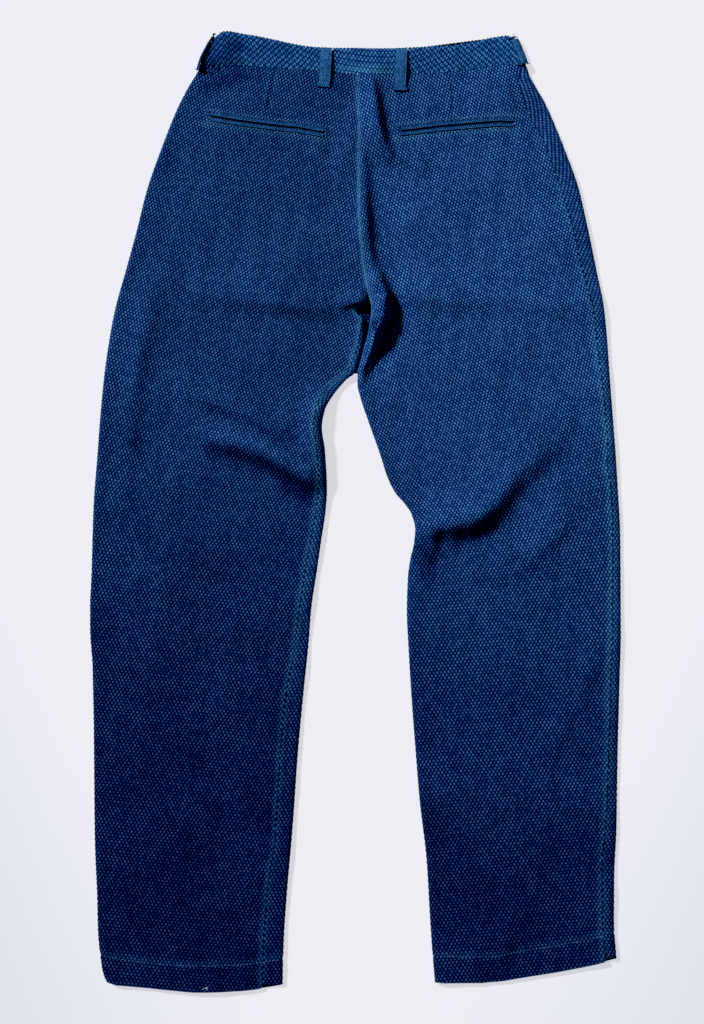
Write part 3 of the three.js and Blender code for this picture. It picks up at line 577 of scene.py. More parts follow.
def side_turn(name):
    downs = MM * np.arange(0, 1031.0)
    out = -1 if name == "left" else 1
    outer = along(OUTER[name], downs)
    inner = along(INNER[name], downs) + out * SEAM_GAP / 2
    closing = np.interp(downs, CROTCH_DOWN, CROTCH_CLOSING)

    def height(across, down):
        edges = [np.interp(down, downs, values) for values in (inner, outer, closing)]
        return cloth_height(across, down, *edges)

    return Turn(downs, inner, outer, closing, height)


TURNS = {name: side_turn(name) for name in ("left", "right")}


def leg_seams(side, down):
    """Distances round the turn of the inseam and the outseam."""
    _, second, third, _, _ = TURNS[side].marks(down)
    middle = (second + third) / 2
    outseam = middle + UNDER_INSET if side == "left" else middle - along(OUTSEAM_RIGHT, down)
    return along(INSEAM[side], down), outseam


def normals_of(surface, a, b):
    """Directions out of a surface given by two numbers, by small steps along each."""
    by_a = surface(a + NORMAL_STEP, b) - surface(a - NORMAL_STEP, b)
    by_b = surface(a, b + NORMAL_STEP) - surface(a, b - NORMAL_STEP)
    normal = np.cross(by_b, by_a)
    return normal / np.maximum(np.linalg.norm(normal, axis=-1, keepdims=True), TINY)


class Cloth:
    """What a piece of cloth has, unless its own class says otherwise. "upright" is whether its
    mesh runs across the weave's rows, and "flip" whether its outer face looks down."""

    upright = flip = False
    thickness, span, depth = LOOP_THICKNESS, STRAP_SPAN, STRAP_DEPTH

    def from_weave(self, u, v):
        return u, v

    def run(self, place, row):
        """Distance round the turn of a place on the front or back."""
        return self.turn.under(place, row) if self.front else self.turn.over(place, row)

    def lift(self, a, b):
        return np.zeros(np.shape(a))

    wear = fade = lift


class Panel(Cloth):
    """A front or back panel of one side, and the weave that runs over it."""

    thickness, span, depth = CLOTH_THICKNESS, PANEL_SPAN, GRAIN_DEPTH

    def __init__(self, side, front):
        self.side, self.turn, self.front, self.flip = side, TURNS[side], front, front
        downs = self.turn.rows
        self.size = by_mm(downs, WEAVE_DOWN, WEAVE_SIZE)
        self.slope = by_mm(downs, SLOPE_DOWN[side], SLOPE[side]) * (FRONT_SLOPE if front else 1)
        self.shift = running(self.slope[1:]) * MM
        self.length = running(1 / self.size[1:]) * MM

    def from_weave(self, u, v):
        """Place across and down of a weave coordinate."""
        downs = self.turn.rows
        down = np.interp(v, self.length, downs)
        for _ in range(WEAVE_ROUNDS):
            place = np.interp(down, downs, self.size) * (u - np.interp(down, downs, self.shift))
            down = np.interp(v + np.interp(down, downs, self.slope) * place, self.length, downs)
        return WEAVE_MIDDLE[self.side] + place, down

    def edges(self, place, down):
        """Distances inside the two seams, the waist seam and the hem."""
        run = self.run(place, down)
        inseam, outseam = leg_seams(self.side, down)
        x, z = self.turn.section(run, down)
        waist = np.where(z < LEAST_HEIGHT / 2, straight(FRONT_SEAM, x), along(WAIST_SEAM, x))
        hem = along(HEM[self.side], x)
        if self.front:
            end = self.turn.marks(down)[4]
            return run - outseam, end + inseam - run, down - waist, hem - down
        return run - inseam, outseam - run, down - waist, hem - down

    def inside(self, place, down):
        first, second, waist, hem = self.edges(place, down)
        return (np.minimum(first, second) > SEAM_GAP / 2) & (waist > WAIST_SEAM_GAP / 2) & (hem > 0)

    def surface(self, place, down):
        x, z = self.turn.section(self.run(place, down), down)
        return placed(x, down, z)

    def lift(self, place, down):
        """Sewn detail on the outer face: seams, hem stitching, dart and pocket slit."""
        first, second, waist, hem = self.edges(place, down)
        near = np.minimum(first, second)
        rise = np.where(down < CROTCH_AT, *SEAM_RISE)
        height = rise * stripes(near, SEAM_ROLL) - stripes(near, SEAM_GROOVE)
        hip = OUTSEAM_CREASE * np.clip(1 - down / OUTSEAM_FADES, 0, 1)
        height -= hip * bump(first if self.front else second, OUTSEAM_CREASE_WIDTH)
        height -= stripes(hem, HEM_CREASE)
        height -= stripes(waist, WAIST_CREASE)
        if not self.front:
            dart, off_x = from_line(DART[self.side], place, down)[:2]
            height -= stripes(dart, DART_CREASE)
            height += stripes(off_x, DART_ROLL) * (dart < DART_REACH)
            height -= stripes(from_line(POCKET[self.side], place, down)[0], SLIT_CREASE)
        return height

    def wear(self, place, down):
        """How much the indigo has worn off: most along the seams, edges and pockets."""
        first, second, waist, hem = self.edges(place, down)
        inner, outer = (second, first) if self.front else (first, second)
        wear = np.zeros(np.shape(down))
        for near, shares, reach in (
            (inner, INNER_WEAR, FADE_EDGE), (outer, OUTER_WEAR, OUTSEAM_FADE_EDGE)
        ):
            share = by_mm(down, SEAM_WEAR_DOWN, shares)
            wear = np.maximum(wear, share * bump(near - SEAM_ROLL[1], reach))
        wear += stripes(hem, HEM_WEAR) + stripes(hem - HEM_DEPTH, HEM_FOLD_WEAR)
        if not self.front:
            slit, _, off_down = from_line(POCKET[self.side], place, down)[:3]
            for stripe in POCKET_WEAR:
                wear += stripes(off_down, stripe) * (slit < POCKET_WEAR_REACH)
        return np.clip(wear, 0, 1)

    def fade(self, place, down):
        fades = FADE.values() if self.front else [FADE[self.side]]
        fade = by_mm(down, FADE_DOWN, np.mean(list(fades), axis=0))
        # On the back the fade also gets the painted shade and painted highlights of the rows near the
        # top.
        return fade if self.front else np.maximum(with_lines(fade, PAINTED_SHADE_AND_HIGHLIGHT, place, down), 0)


def band_turn():
    """The waistband's turn at each share of its height, from its left edge over the back."""
    shares = np.linspace(0, 1, BAND_STEPS)
    left = along(OUTER["left"], BAND_LEFT[0] + (BAND_LEFT[1] - BAND_LEFT[0]) * shares)
    right = along(OUTER["right"], BAND_RIGHT[0] + (BAND_RIGHT[1] - BAND_RIGHT[0]) * shares)

    def height(across, share):
        edges = np.interp(share, shares, left), np.interp(share, shares, right)
        rounded = np.clip(np.minimum(share, 1 - share) / BAND_ROUNDED, 0, 1)
        down = band_down(across, share, False)
        return cloth_height(across, down, *edges, 1) + BAND_RAISE * rounded

    return Turn(shares, left, right, np.ones(BAND_STEPS), height)


def band_edges(across, under):
    top = np.where(under, straight(FRONT_TOP, across), along(WAIST_TOP, across))
    top = top - SCALLOP / 2 * np.cos(2 * math.pi * across / PITCH)
    seam = np.where(under, straight(FRONT_SEAM, across), along(WAIST_SEAM, across))
    return top, seam - WAIST_SEAM_GAP / 2


def band_down(across, share, under):
    top, seam = band_edges(across, under)
    return top + (seam - top) * share


class Band(Cloth):
    """A piece of the waistband. Its weave is given by place along it and depth below its top."""

    upright = True
    thickness, span, depth = HEM_THICKNESS, BAND_SPAN, GRAIN_DEPTH

    def __init__(self, turn, kind):
        self.turn, self.kind = turn, kind
        self.front = self.flip = kind != "back"
        self.places = MM * np.arange(-BAND_REACH, BAND_REACH + 1.0)
        slope = by_mm(self.places, BAND_SLOPE_AT, BAND_SLOPE)
        self.shift = np.cumsum(slope * (0 if self.front else 1)) * MM
        self.shift -= np.interp(0, self.places, self.shift)

    def from_weave(self, u, v):
        return u, v + np.interp(u, self.places, self.shift)

    def share(self, place, depth):
        across = np.clip(place, self.turn.inner[0], self.turn.outer[0])
        top, seam = band_edges(across, self.front)
        return depth / (seam - top)

    def ends(self, share):
        first, _, third, fourth, _ = self.turn.marks(share)
        if self.kind == "back":
            return -first - UNDER_INSET, third + UNDER_INSET
        if self.kind == "front_right":
            return third + UNDER_INSET + SEAM_GAP, self.turn.under(CENTRE_FRONT, share)
        return self.turn.under(CENTRE_FRONT, share), fourth - UNDER_INSET - SEAM_GAP

    def inside(self, place, depth):
        share = self.share(place, depth)
        run = self.run(place, share)
        low, high = self.ends(share)
        return (share > 0) & (share < 1) & (run > low) & (run < high)

    def at(self, run, share):
        x, z = self.turn.section(run, share)
        return placed(x, band_down(x, share, z < LEAST_HEIGHT / 2), z)

    def surface(self, place, depth):
        share = self.share(place, depth)
        return self.at(self.run(place, share), share)

    def lift(self, place, depth):
        share = self.share(place, depth)
        height = -stripes(share, *BAND_CREASES)
        if self.kind == "front_left":
            across, down = place - BUTTON["across"], band_down(place, share, True) - BUTTON["down"]
            height -= BUTTON["seat_depth"] * (np.hypot(across, down) < BUTTON["seat"])
        return height

    def wear(self, place, depth):
        share = self.share(place, depth)
        wear = stripes(share, *BAND_WEAR)
        wear += stripes(share, BAND_CENTRE_WEAR) * bump(place - BAND_CENTRE, BAND_CENTRE_WIDTH)
        return np.clip(wear, 0, 1)

    def fade(self, place, depth):
        down = band_down(place, self.share(place, depth), False)
        # BAND_SHADE paints shade on the band's left end.
        return with_lines(by_mm(place, BAND_FADE_AT, BAND_FADE), [BAND_SHADE], place, down)


def top_of_cloth(across, down):
    """Height of the cloth's outer face over a place on the back."""
    seam = along(WAIST_SEAM, across)
    share = np.clip((down - along(WAIST_TOP, across)) / (seam - along(WAIST_TOP, across)), 0, 1)
    band = BAND_TURN.height(across, share)
    middle = along(INNER["right"], down)
    panel = np.where(
        across > middle, TURNS["right"].height(across, down), TURNS["left"].height(across, down)
    )
    return np.where(down < seam, band, panel)


class Strap(Cloth):
    """A narrow strip laid on the back, along a line of (across, down), bowed up between its ends."""

    def __init__(self, line, half_width, raised, bow, faded):
        self.line, self.runs, self.half_width = line, runs_along(line), half_width
        self.raised, self.bow, self.faded = raised, bow, faded

    def from_weave(self, u, v):
        return u * STRAP_WEAVE, v * STRAP_WEAVE

    def inside(self, run, off):
        return (run > 0) & (run < self.runs[-1]) & (np.abs(off) < self.half_width)

    def plan(self, run, off):
        """Across and down of a place on the strip."""
        across, down = on_path(self.line, self.runs, run)
        ahead, behind = (np.stack(on_path(self.line, self.runs, run + step)) for step in (MM, -MM))
        way = ahead - behind
        way /= np.maximum(np.hypot(*way), TINY)
        return across - way[1] * off, down + way[0] * off

    def surface(self, run, off):
        across, down = self.plan(run, off)
        arch = self.bow * np.sin(np.pi * np.clip(run / self.runs[-1], 0, 1))
        edge = STRAP_EDGE * np.abs(np.clip(off / self.half_width, -1, 1)) ** STRAP_ROUNDING
        return placed(across, down, top_of_cloth(across, down) + self.raised + arch - edge)

    def lift(self, run, off):
        return -stripes(np.abs(off) - self.half_width, STRAP_STITCH)

    def wear(self, run, off):
        return stripes(np.abs(off) - self.half_width, STRAP_WEAR)

    def fade(self, run, off):
        return np.full(np.shape(run), self.faded)


class SideLoop(Strap):
    """A belt loop that follows the waistband's edge from the side over to the back."""

    def __init__(self, side):
        self.side, self.faded = side, SIDE_LOOP_FADE[side]
        self.half_width = (SIDE_LOOP_UNDER + SIDE_LOOP_OVER[side]) / 2
        self.runs = np.array([0, SIDE_LOOP_LENGTH])

    def base(self, run, off):
        low, high = SIDE_LOOP_SHARES
        share = low + (high - low) * run / SIDE_LOOP_LENGTH
        if self.side == "left":
            return BAND.at(off + self.half_width - SIDE_LOOP_UNDER, share)
        _, second, third, _, _ = BAND_TURN.marks(share)
        return BAND.at((second + third) / 2 + off - self.half_width + SIDE_LOOP_UNDER, share)

    def surface(self, run, off):
        return self.base(run, off) - SIDE_LOOP_LIFT * normals_of(self.base, run, off)


class CrotchFold(Cloth):
    """The front's crotch, put under the narrow gap between the legs so that the gap shows dark: a
    sheet of painted shade, which takes the cloth's darkest colours as it has no fade of its own.
    """

    thickness, span, depth = CROTCH_THICKNESS, CROTCH_SPAN, GRAIN_DEPTH / 2

    def inside(self, across, down):
        left = along(INNER["left"], down) - CROTCH_OVERLAP
        right = along(INNER["right"], down) + CROTCH_OVERLAP
        return (across > left) & (across < right) & (down > CROTCH_GAP[0]) & (down < CROTCH_GAP[1])

    def surface(self, across, down):
        return placed(across, down, np.full(np.shape(across), CROTCH_HEIGHT))


BAND_TURN = band_turn()
BAND = Band(BAND_TURN, "back")


def weave_lines(cloth):
    """Lines of weave places inside a piece's outline, each with its exact ends on the outline.
    They run along the weave's rows, or across them where cloth.upright says so."""
    u_range, v_range = cloth.span
    line_step, step = (PITCH / 2, ROW / 2) if cloth.upright else (ROW / 2, PITCH / 2)
    line_range, step_range = (u_range, v_range) if cloth.upright else (v_range, u_range)

    def weave_place(along_line, line):
        return (line, along_line) if cloth.upright else (along_line, line)

    def is_inside(along_line, line):
        return cloth.inside(*cloth.from_weave(*weave_place(along_line, line)))

    lines = np.arange(math.floor(line_range[0] / line_step), math.ceil(line_range[1] / line_step) + 1)
    steps = np.arange(math.floor(step_range[0] / step), math.ceil(step_range[1] / step) + 1)
    kept = is_inside(*np.meshgrid(steps * step, lines * line_step))
    kept[:, 0] = kept[:, -1] = False
    found = []
    for line, mask in zip(lines, kept):
        changes = np.flatnonzero(np.diff(mask.astype(int)))
        if len(changes) > 1:
            first, last = max(changes.reshape(-1, 2), key=lambda run: run[1] - run[0])
            found.append((line, steps[first + 1], steps[last]))
    line, first, last = (np.array(part) for part in zip(*found))
    ends = []
    for inner, way in ((first, -1), (last, 1)):
        good, bad = inner * step, (inner + way) * step
        for _ in range(OUTLINE_ROUNDS):
            middle = (good + bad) / 2
            ok = is_inside(middle, line * line_step)
            good, bad = np.where(ok, middle, good), np.where(ok, bad, middle)
        ends.append(good)
    made = []
    for k, number in enumerate(line):
        here = np.arange(first[k], last[k] + 1)
        column, row = (number, here) if cloth.upright else (here, number)
        grain = (row % 2 == 0) & ((column + row // 2) % 2 == 0)
        high = np.where(grain, 1.0, np.where(row % 2 == 0, 0.0, HALF_ROW_RISE))
        at = here * step
        clear = np.minimum(at - ends[0][k], ends[1][k] - at) > OUTLINE_CLEAR * step
        at = np.concatenate([[ends[0][k]], at[clear], [ends[1][k]]])
        high = np.concatenate([[EDGE_RISE], high[clear], [EDGE_RISE]])
        u, v = weave_place(at, np.full(len(at), number * line_step))
        made.append((u, v, high, at))
    return made


def zipped(first, second, u_first, u_second):
    """Triangles between two neighbouring rows of points."""
    faces = []
    i = j = 0
    while i + 1 < len(first) or j + 1 < len(second):
        if j + 1 == len(second) or (i + 1 < len(first) and u_first[i + 1] <= u_second[j + 1]):
            faces.append((first[i], second[j], first[i + 1]))
            i += 1
        else:
            faces.append((first[i], second[j], second[j + 1]))
            j += 1
    return faces


def linked(name, data):
    """A new object of the scene with its data."""
    made = bpy.data.objects.new(name, data)
    bpy.context.scene.collection.objects.link(made)
    return made


def add_object(name, points, faces, uvs=None, values={}):
    mesh = bpy.data.meshes.new(name)
    mesh.from_pydata(points.tolist(), [], faces)
    if uvs is not None:
        layer = mesh.uv_layers.new(name="weave")
        corner = np.empty(len(mesh.loops), np.int32)
        mesh.loops.foreach_get("vertex_index", corner)
        layer.uv.foreach_set("vector", uvs[corner].astype(np.float32).ravel())
    for key, numbers in values.items():
        attribute = mesh.attributes.new(key, "FLOAT", "POINT")
        attribute.data.foreach_set("value", np.asarray(numbers, np.float32))
    mesh.polygons.foreach_set("use_smooth", [True] * len(mesh.polygons))
    return linked(name, mesh)


def woven(name, cloth):
    """A piece of woven cloth: its grains stand up from the ground by its depth, and its edges
    are turned in by its thickness."""
    rows = weave_lines(cloth)
    u, v, high = (np.concatenate([row[k] for row in rows]) for k in range(3))
    a, b = cloth.from_weave(u, v)
    points = cloth.surface(a, b)
    normals = normals_of(cloth.surface, a, b) * (-1 if cloth.flip else 1)
    outside = points + normals * (cloth.lift(a, b) - cloth.depth * (1 - high))[:, None]
    outside[:, 2] = np.maximum(outside[:, 2], FLOOR_GAP)
    starts = np.cumsum([0] + [len(row[0]) for row in rows])
    numbers = [np.arange(first, last) for first, last in zip(starts[:-1], starts[1:])]
    faces = []
    for k in range(len(rows) - 1):
        faces += zipped(numbers[k], numbers[k + 1], rows[k][3], rows[k + 1][3])
    rim = list(numbers[0]) + [row[-1] for row in numbers[1:]]
    rim += list(numbers[-1][-2::-1]) + [row[0] for row in numbers[-2:0:-1]]
    rim = np.array(rim)
    inner = outside[rim] - normals[rim] * cloth.thickness
    inner[:, 2] = np.maximum(inner[:, 2], FLOOR_GAP)
    count = len(outside)
    for k in range(len(rim)):
        n = (k + 1) % len(rim)
        faces.append((rim[k], count + k, count + n, rim[n]))
    if cloth.flip != cloth.upright:
        faces = [face[::-1] for face in faces]
    every = np.concatenate([np.arange(count), rim])
    return add_object(
        name,
        np.concatenate([outside, inner]),
        [tuple(int(i) for i in face) for face in faces],
        np.stack([u, v], -1)[every],
        {"wear": cloth.wear(a, b)[every], "fade": cloth.fade(a, b)[every]},
    )


def srgb(red, green, blue):
    def linear(value):
        value /= 255
        return value / 12.92 if value <= 0.04045 else ((value + 0.055) / 1.055) ** 2.4

    return (linear(red), linear(green), linear(blue), 1.0)


class Graph:
    """A material's nodes, added one line at a time. Inputs are given by name or number."""

    def __init__(self, name):
        self.material = bpy.data.materials.new(name)
        self.material.use_nodes = True
        self.tree = self.material.node_tree
        self.shader = self.tree.nodes["Principled BSDF"].inputs

    def feed(self, sockets, values):
        for key, value in values.items():
            if isinstance(value, bpy.types.NodeSocket):
                self.tree.links.new(value, sockets[key])
            else:
                sockets[key].default_value = value

    def node(self, kind, values={}, **settings):
        """Adds a node with its settings and inputs, and returns its outputs."""
        node = self.tree.nodes.new(f"ShaderNode{kind}")
        for name, value in settings.items():
            setattr(node, name, value)
        self.feed(node.inputs, values)
        return node.outputs

    def math(self, operation, *values):
        return self.node("Math", dict(enumerate(values)), operation=operation)[0]

    def mix(self, share, first, second):
        return self.node("Mix", {"Factor": share, "A": first, "B": second}, data_type="RGBA")["Result"]

    def ramp(self, *values):
        return self.node("MapRange", dict(enumerate(values)), interpolation_type="SMOOTHSTEP")["Result"]

    def split(self, vector):
        outputs = self.node("SeparateXYZ", {0: vector})
        return outputs["X"], outputs["Y"]

    def combine(self, x, y):
        return self.node("CombineXYZ", {0: x, 1: y})[0]

    def place(self):
        return self.node("TexCoord")["Object"]

    def noise(self, scale, detail, vector):
        return self.node("TexNoise", {"Scale": scale, "Detail": detail, "Vector": vector})["Fac"]

    def random(self, x, y):
        vector = {"Vector": self.combine(x, y)}
        return self.node("TexWhiteNoise", vector, noise_dimensions="2D")["Value"]

    def relief(self, height, strength, distance):
        values = {"Strength": strength, "Distance": distance, "Height": height}
        self.feed(self.shader, {"Normal": self.node("Bump", values)["Normal"]})

    def finish(self, colour, roughness, sheen=0.0):
        values = {"Base Color": colour, "Roughness": roughness, "Specular IOR Level": sheen}
        self.feed(self.shader, values)
        return self.material


def cloth_material(name):
    """Indigo rice-grain cloth: blue grains in staggered rows on a darker ground, each grain
    dyed a little differently, and worn lighter along seams."""
    *colours, speckle = CLOTH_COLOURS[name]
    g = Graph(name)
    u, v = g.split(g.node("UVMap", uv_map="weave")["UV"])
    a, b = g.math("DIVIDE", u, PITCH), g.math("DIVIDE", v, ROW)
    masks = []
    for shift_a, shift_b in ((0.0, 0.0), (0.5, 1.0)):
        here_a = g.math("SUBTRACT", a, shift_a)
        here_b = g.math("MULTIPLY", g.math("SUBTRACT", b, shift_b), 0.5)
        column, row = g.math("ROUND", here_a), g.math("ROUND", here_b)
        off_a = g.math("SUBTRACT", here_a, column)
        off_b = g.math("MULTIPLY", g.math("SUBTRACT", here_b, row), 2.0)
        far = g.math("ADD", g.math("POWER", g.math("DIVIDE", off_a, GRAIN_HALF[0]), 2.0),
                     g.math("POWER", g.math("DIVIDE", off_b, GRAIN_HALF[1]), 2.0))
        chance = g.random(g.math("ADD", column, shift_a), g.math("ADD", row, shift_b))
        bright = g.ramp(chance, 0.0, 1.0, 1 - speckle, 1 + speckle)
        masks.append(g.math("MULTIPLY", g.ramp(far, *GRAIN_SHAPE), bright))
    fine = g.combine(g.math("MULTIPLY", u, THREADS[0]), g.math("MULTIPLY", v, THREADS[1]))
    threads = g.noise(1.0, THREAD_DETAIL, fine)
    grains = g.math("MULTIPLY", g.math("MAXIMUM", *masks), g.ramp(threads, *THREADS_IN_GRAIN))
    mask = g.math("ADD", grains, g.ramp(threads, *THREADS_ON_GROUND))
    # The fade attribute carries the cloth's fade together with painted shade and painted highlights.
    wear, fade = (g.node("Attribute", attribute_name=name)["Fac"] for name in ("wear", "fade"))
    fade = g.math("ADD", fade, g.ramp(g.noise(*PATCHES, g.place()), *PATCH_FADE))
    ground, middle, grain, worn = (g.mix(fade, *(srgb(*shade) for shade in pair)) for pair in colours)
    colour = g.mix(g.ramp(mask, *TO_MIDDLE), ground, middle)
    colour = g.mix(g.ramp(mask, *TO_GRAIN), colour, grain)
    rubbed = g.math("MULTIPLY", wear, g.ramp(mask, *RUBBED))
    g.relief(g.math("ADD", mask, g.math("MULTIPLY", threads, THREAD_RELIEF)), *CLOTH_RELIEF)
    return g.finish(g.mix(rubbed, colour, worn), CLOTH_ROUGHNESS)


def plain_material(name, dark, light, roughness, scale):
    """A finish that varies between two colours, with a fine grain."""
    g = Graph(name)
    grain = g.noise(scale, PLAIN_DETAIL, g.place())
    g.relief(grain, *PLAIN_RELIEF)
    colour = g.mix(g.ramp(grain, *PLAIN_MIX), srgb(*dark), srgb(*light))
    return g.finish(colour, roughness, PLAIN_SHEEN)


def floor_material():
    """Pale paper with painted shade towards the near corners, glowing as painted light."""
    g = Graph("paper")
    x, y = g.split(g.place())
    sideways = g.math("POWER", g.math("DIVIDE", x, CORNER_WIDTH), 2)
    corner = g.math("ADD", sideways, g.math("MULTIPLY", y, CORNER_NEAR))
    paper = g.mix(g.ramp(corner, *CORNER_SHADE), srgb(*PAPER), srgb(*PAPER_CORNER_SHADE))
    # The paper's glow is painted light that keeps shadows on it pale.
    g.feed(g.shader, {"Emission Color": paper, "Emission Strength": PAPER_GLOW})
    return g.finish(g.mix(PAPER_GLOW, paper, srgb(0, 0, 0)), 1.0)


def tube(name, lines, radius):
    """Threads: a round tube along each line of points."""
    points, faces, sides = [], [], TUBE_SIDES
    for line in lines:
        line = [Vector(p) for p in line]
        for i, p in enumerate(line):
            way = (line[min(i + 1, len(line) - 1)] - line[max(i - 1, 0)]).normalized()
            across = way.cross(Vector((0, 0, 1)))
            across = across.normalized() if across.length > TINY else Vector((1, 0, 0))
            up = across.cross(way)
            start = len(points)
            taper = TUBE_END if i in (0, len(line) - 1) else 1.0
            for k in range(sides):
                angle = 2 * math.pi * k / sides
                points.append(p + radius * taper * (math.cos(angle) * across + math.sin(angle) * up))
            if i:
                for k in range(sides):
                    n = (k + 1) % sides
                    faces.append((start + k - sides, start + n - sides, start + n, start + k))
            else:
                faces.append(tuple(range(start, start + sides))[::-1])
        faces.append(tuple(range(len(points) - sides, len(points))))
    return add_object(name, np.array([tuple(p) for p in points]), faces)


def button_piece():
    """A four-hole button with eased edges, in its seat under the waistband."""
    shape = bmesh.new()
    circles = [(0, 0, BUTTON["radius"])]
    circles += [(x * BUTTON["hole_at"], y * BUTTON["hole_at"], BUTTON["hole"])
                for x, y in ((1, 1), (-1, 1), (-1, -1), (1, -1))]
    edges = []
    for x, y, radius in circles:
        count = BUTTON["segments"]
        angles = [2 * math.pi * k / count for k in range(count)]
        ring = [shape.verts.new((x + radius * math.cos(t), y + radius * math.sin(t), 0)) for t in angles]
        edges += [shape.edges.new(pair) for pair in zip(ring, ring[1:] + ring[:1])]
    filled = bmesh.ops.triangle_fill(shape, edges=edges, use_beauty=True)["geom"]
    faces = [part for part in filled if isinstance(part, bmesh.types.BMFace)]
    raised = bmesh.ops.extrude_face_region(shape, geom=faces)["geom"]
    corners = [part for part in raised if isinstance(part, bmesh.types.BMVert)]
    bmesh.ops.translate(shape, verts=corners, vec=(0, 0, BUTTON["thickness"]))
    bmesh.ops.translate(
        shape, verts=shape.verts, vec=(BUTTON["across"], WAIST_TOP_Y - BUTTON["down"], FLOOR_GAP)
    )
    bmesh.ops.recalc_face_normals(shape, faces=shape.faces)
    mesh = bpy.data.meshes.new("waist_button_detail")
    shape.to_mesh(mesh)
    shape.free()
    piece = linked("waist_button_detail", mesh)
    eased = piece.modifiers.new("eased", "BEVEL")
    eased.width, eased.segments = BUTTON["eased"], 2
    eased.angle_limit = math.radians(BUTTON["eased_from"])
    return piece


def tuft_lines():
    """Short curling threads in each tuft's place."""
    chance = random.Random(TUFT_SEED)
    lines = []
    for across, down, span, count in TUFTS:
        for _ in range(count):
            x, y = (MM * (place + chance.uniform(-TUFT_SPREAD, TUFT_SPREAD)) for place in (across, down))
            way = chance.uniform(0, 2 * math.pi)
            z = float(top_of_cloth(np.array(x), np.array(y))) + TUFT_LIFT
            step = MM * span / (TUFT_POINTS - 1)
            line = []
            for _ in range(TUFT_POINTS):
                line.append((x, WAIST_TOP_Y - y, z))
                x, y = x + step * math.cos(way), y + step * math.sin(way)
                z += MM * chance.uniform(*TUFT_RISE)
                way += chance.uniform(-TUFT_CURL, TUFT_CURL)
            lines.append(line)
    return lines


def stitch_lines(path, lift):
    """Stitches one after another along a path of (across, down), at a lift from the cloth."""
    runs = runs_along(path)
    lines = []
    for start in np.arange(0, runs[-1] - STITCH, STITCH_STEP):
        across, down = on_path(path, runs, start + STITCH * np.array([0, 0.5, 1]))
        height = top_of_cloth(across, down) + lift - STITCH_RADIUS * np.array([1, 0, 1])
        lines.append(placed(across, down, height).tolist())
    return lines


def pocket_stitches(side):
    """A box of stitches round a pocket's slit."""
    slit = POCKET[side]
    ends = slit[0] - (POCKET_BOX, 0), slit[-1] + (POCKET_BOX, 0)
    paths = [np.vstack([ends[0], slit, ends[1]]) + (0, way * POCKET_STITCHES) for way in (-1, 1)]
    paths += [end + np.array([(0, -POCKET_STITCHES), (0, POCKET_STITCHES)]) for end in ends]
    return [line for path in paths for line in stitch_lines(path, STITCH_RADIUS)]


def hem_stitches(side):
    """A line of stitches along the upper edge of the turned-up hem."""
    out = -1 if side == "left" else 1
    across = np.linspace(HEM[side][0, 0], HEM[side][-1, 0], HEM_POINTS)
    down = along(HEM[side], across) - HEM_DEPTH
    low, high = sorted((along(INNER[side], HEM_STITCH_DOWN), along(OUTER[side], HEM_STITCH_DOWN)))
    kept = (across > low + HEM_STITCH_INSET) & (across < high - HEM_STITCH_INSET)
    return stitch_lines(np.stack([across, down], -1)[kept][::out], -STITCH_RADIUS)


def finish_piece(piece, look, node=None):
    """Gives a piece the material of its look, which is a material and a slot; the slot is not used.
    Puts the piece under the root body and hides the solid it replaces.
    """
    material, slot = look
    piece.data.materials.append(material)
    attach(piece, "root")
    if node:
        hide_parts(node)


def add_cloth(node, cloth, look, replaces=True):
    finish_piece(woven(f"{node}_cloth", cloth), look, node if replaces else None)


PANEL_LOOK = cloth_material("sashiko_cloth"), "panel_cloth"
BAND_LOOK = cloth_material("waistband_cloth"), "band_cloth"
LOOP_LOOK = cloth_material("loop_cloth"), "loop_cloth"
STITCH_LOOK = plain_material("blue_thread", (30, 80, 130), (96, 150, 196), 0.8, 600), "band_cloth"
TUFT_LOOK = plain_material("pale_thread", (120, 160, 190), (214, 226, 232), 0.8, 600), "loop_cloth"
BUTTON_LOOK = plain_material("button_finish", (14, 24, 44), (30, 46, 76), 0.35, 180), "button"

for side in ("left", "right"):
    for part in ("back", "front"):
        add_cloth(f"{part}_{side}", Panel(side, part == "front"), PANEL_LOOK)

for kind in ("back", "front_left", "front_right"):
    add_cloth(f"waistband_{kind}", Band(BAND_TURN, kind), BAND_LOOK)

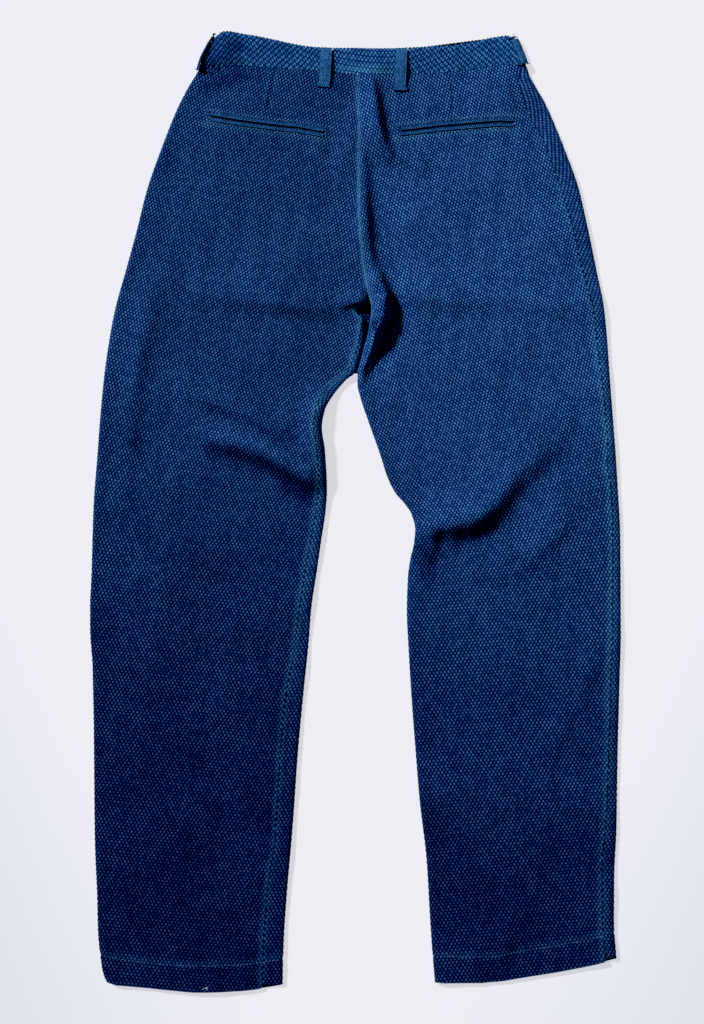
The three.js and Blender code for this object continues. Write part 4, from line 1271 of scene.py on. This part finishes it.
for side in ("left", "right"):
    for lip, way in (("upper", -1), ("lower", 1)):
        moved = POCKET[side] + (0, way * (SLIT + WELT_HEIGHT) / 2)
        welt = Strap(moved, WELT_HEIGHT / 2, WELT_RISE, 0, WELT_FADE)
        add_cloth(f"welt_{side}_{lip}", welt, BAND_LOOK)
    loop = Strap(BACK_LOOP[side], LOOP_WIDTH / 2, LOOP_THICKNESS + SEAM_GAP, LOOP_BOW, LOOP_FADE)
    add_cloth(f"loop_back_{side}", loop, LOOP_LOOK)
    tack = Strap(*TACK[side], TACK_LIFT, 0, TACK_FADE)
    add_cloth(f"loop_tack_{side}", tack, LOOP_LOOK, replaces=False)
    add_cloth(f"loop_side_{side}", SideLoop(side), LOOP_LOOK)
    for part, lines in (("pocket", pocket_stitches(side)), ("hem", hem_stitches(side))):
        finish_piece(tube(f"{part}_stitches_{side}", lines, STITCH_RADIUS), STITCH_LOOK)

# A dark sheet of painted shade under the narrow gap between the legs.
add_cloth("crotch_fold", CrotchFold(), PANEL_LOOK, replaces=False)
finish_piece(tube("thread_ends", tuft_lines(), TUFT_RADIUS), TUFT_LOOK)
finish_piece(button_piece(), BUTTON_LOOK, "waist_button")

for name, (width, length, area) in SHEETS.items():
    kind, side = name.rsplit("_", 1)
    under, sewn_on = [], []
    if kind == "back":
        under = [f"front_{side}_cloth"]
        sewn_on = [f"welt_{side}_upper_cloth", f"welt_{side}_lower_cloth"]
        sewn_on += [f"pocket_stitches_{side}", f"hem_stitches_{side}"]
    elif name == "waistband_back":
        under = ["waistband_front_left_cloth", "waistband_front_right_cloth"]
    elif kind.startswith("loop"):
        under = ["waistband_back_cloth"]
        sewn_on = [f"loop_tack_{side}_cloth"] if kind == "loop_back" else []

bpy.ops.mesh.primitive_plane_add(size=FLOOR_SIZE, location=(0, 0, 0))
floor = bpy.context.object
floor.name = "paper_floor"
floor.data.materials.append(floor_material())

camera_data = bpy.data.cameras.new("camera")
camera_data.sensor_fit = "AUTO"
camera_data.sensor_width = SENSOR
camera_data.lens = SENSOR * CAMERA_HEIGHT / (PHOTO_HEIGHT * METRES_PER_PIXEL)
camera = linked("camera", camera_data)
camera.location = (*PHOTO_CENTRE, CAMERA_HEIGHT)
bpy.context.scene.camera = camera

key_data = bpy.data.lights.new("key", "SUN")
key_data.energy = KEY_ENERGY
key_data.angle = math.radians(KEY_SOFTNESS)
key = linked("key", key_data)
key.rotation_euler = Vector(KEY_FROM).to_track_quat("Z", "Y").to_euler()

world = bpy.data.worlds.new("sky")
world.use_nodes = True
background = world.node_tree.nodes["Background"].inputs
background["Color"].default_value = srgb(*SKY)
background["Strength"].default_value = SKY_STRENGTH
bpy.context.scene.world = world
look = bpy.context.scene.view_settings
look.view_transform = "Standard"
look.use_curve_mapping = True
look.curve_mapping.black_level = (BLACK_LEVEL, BLACK_LEVEL, BLACK_LEVEL)
look.curve_mapping.update()
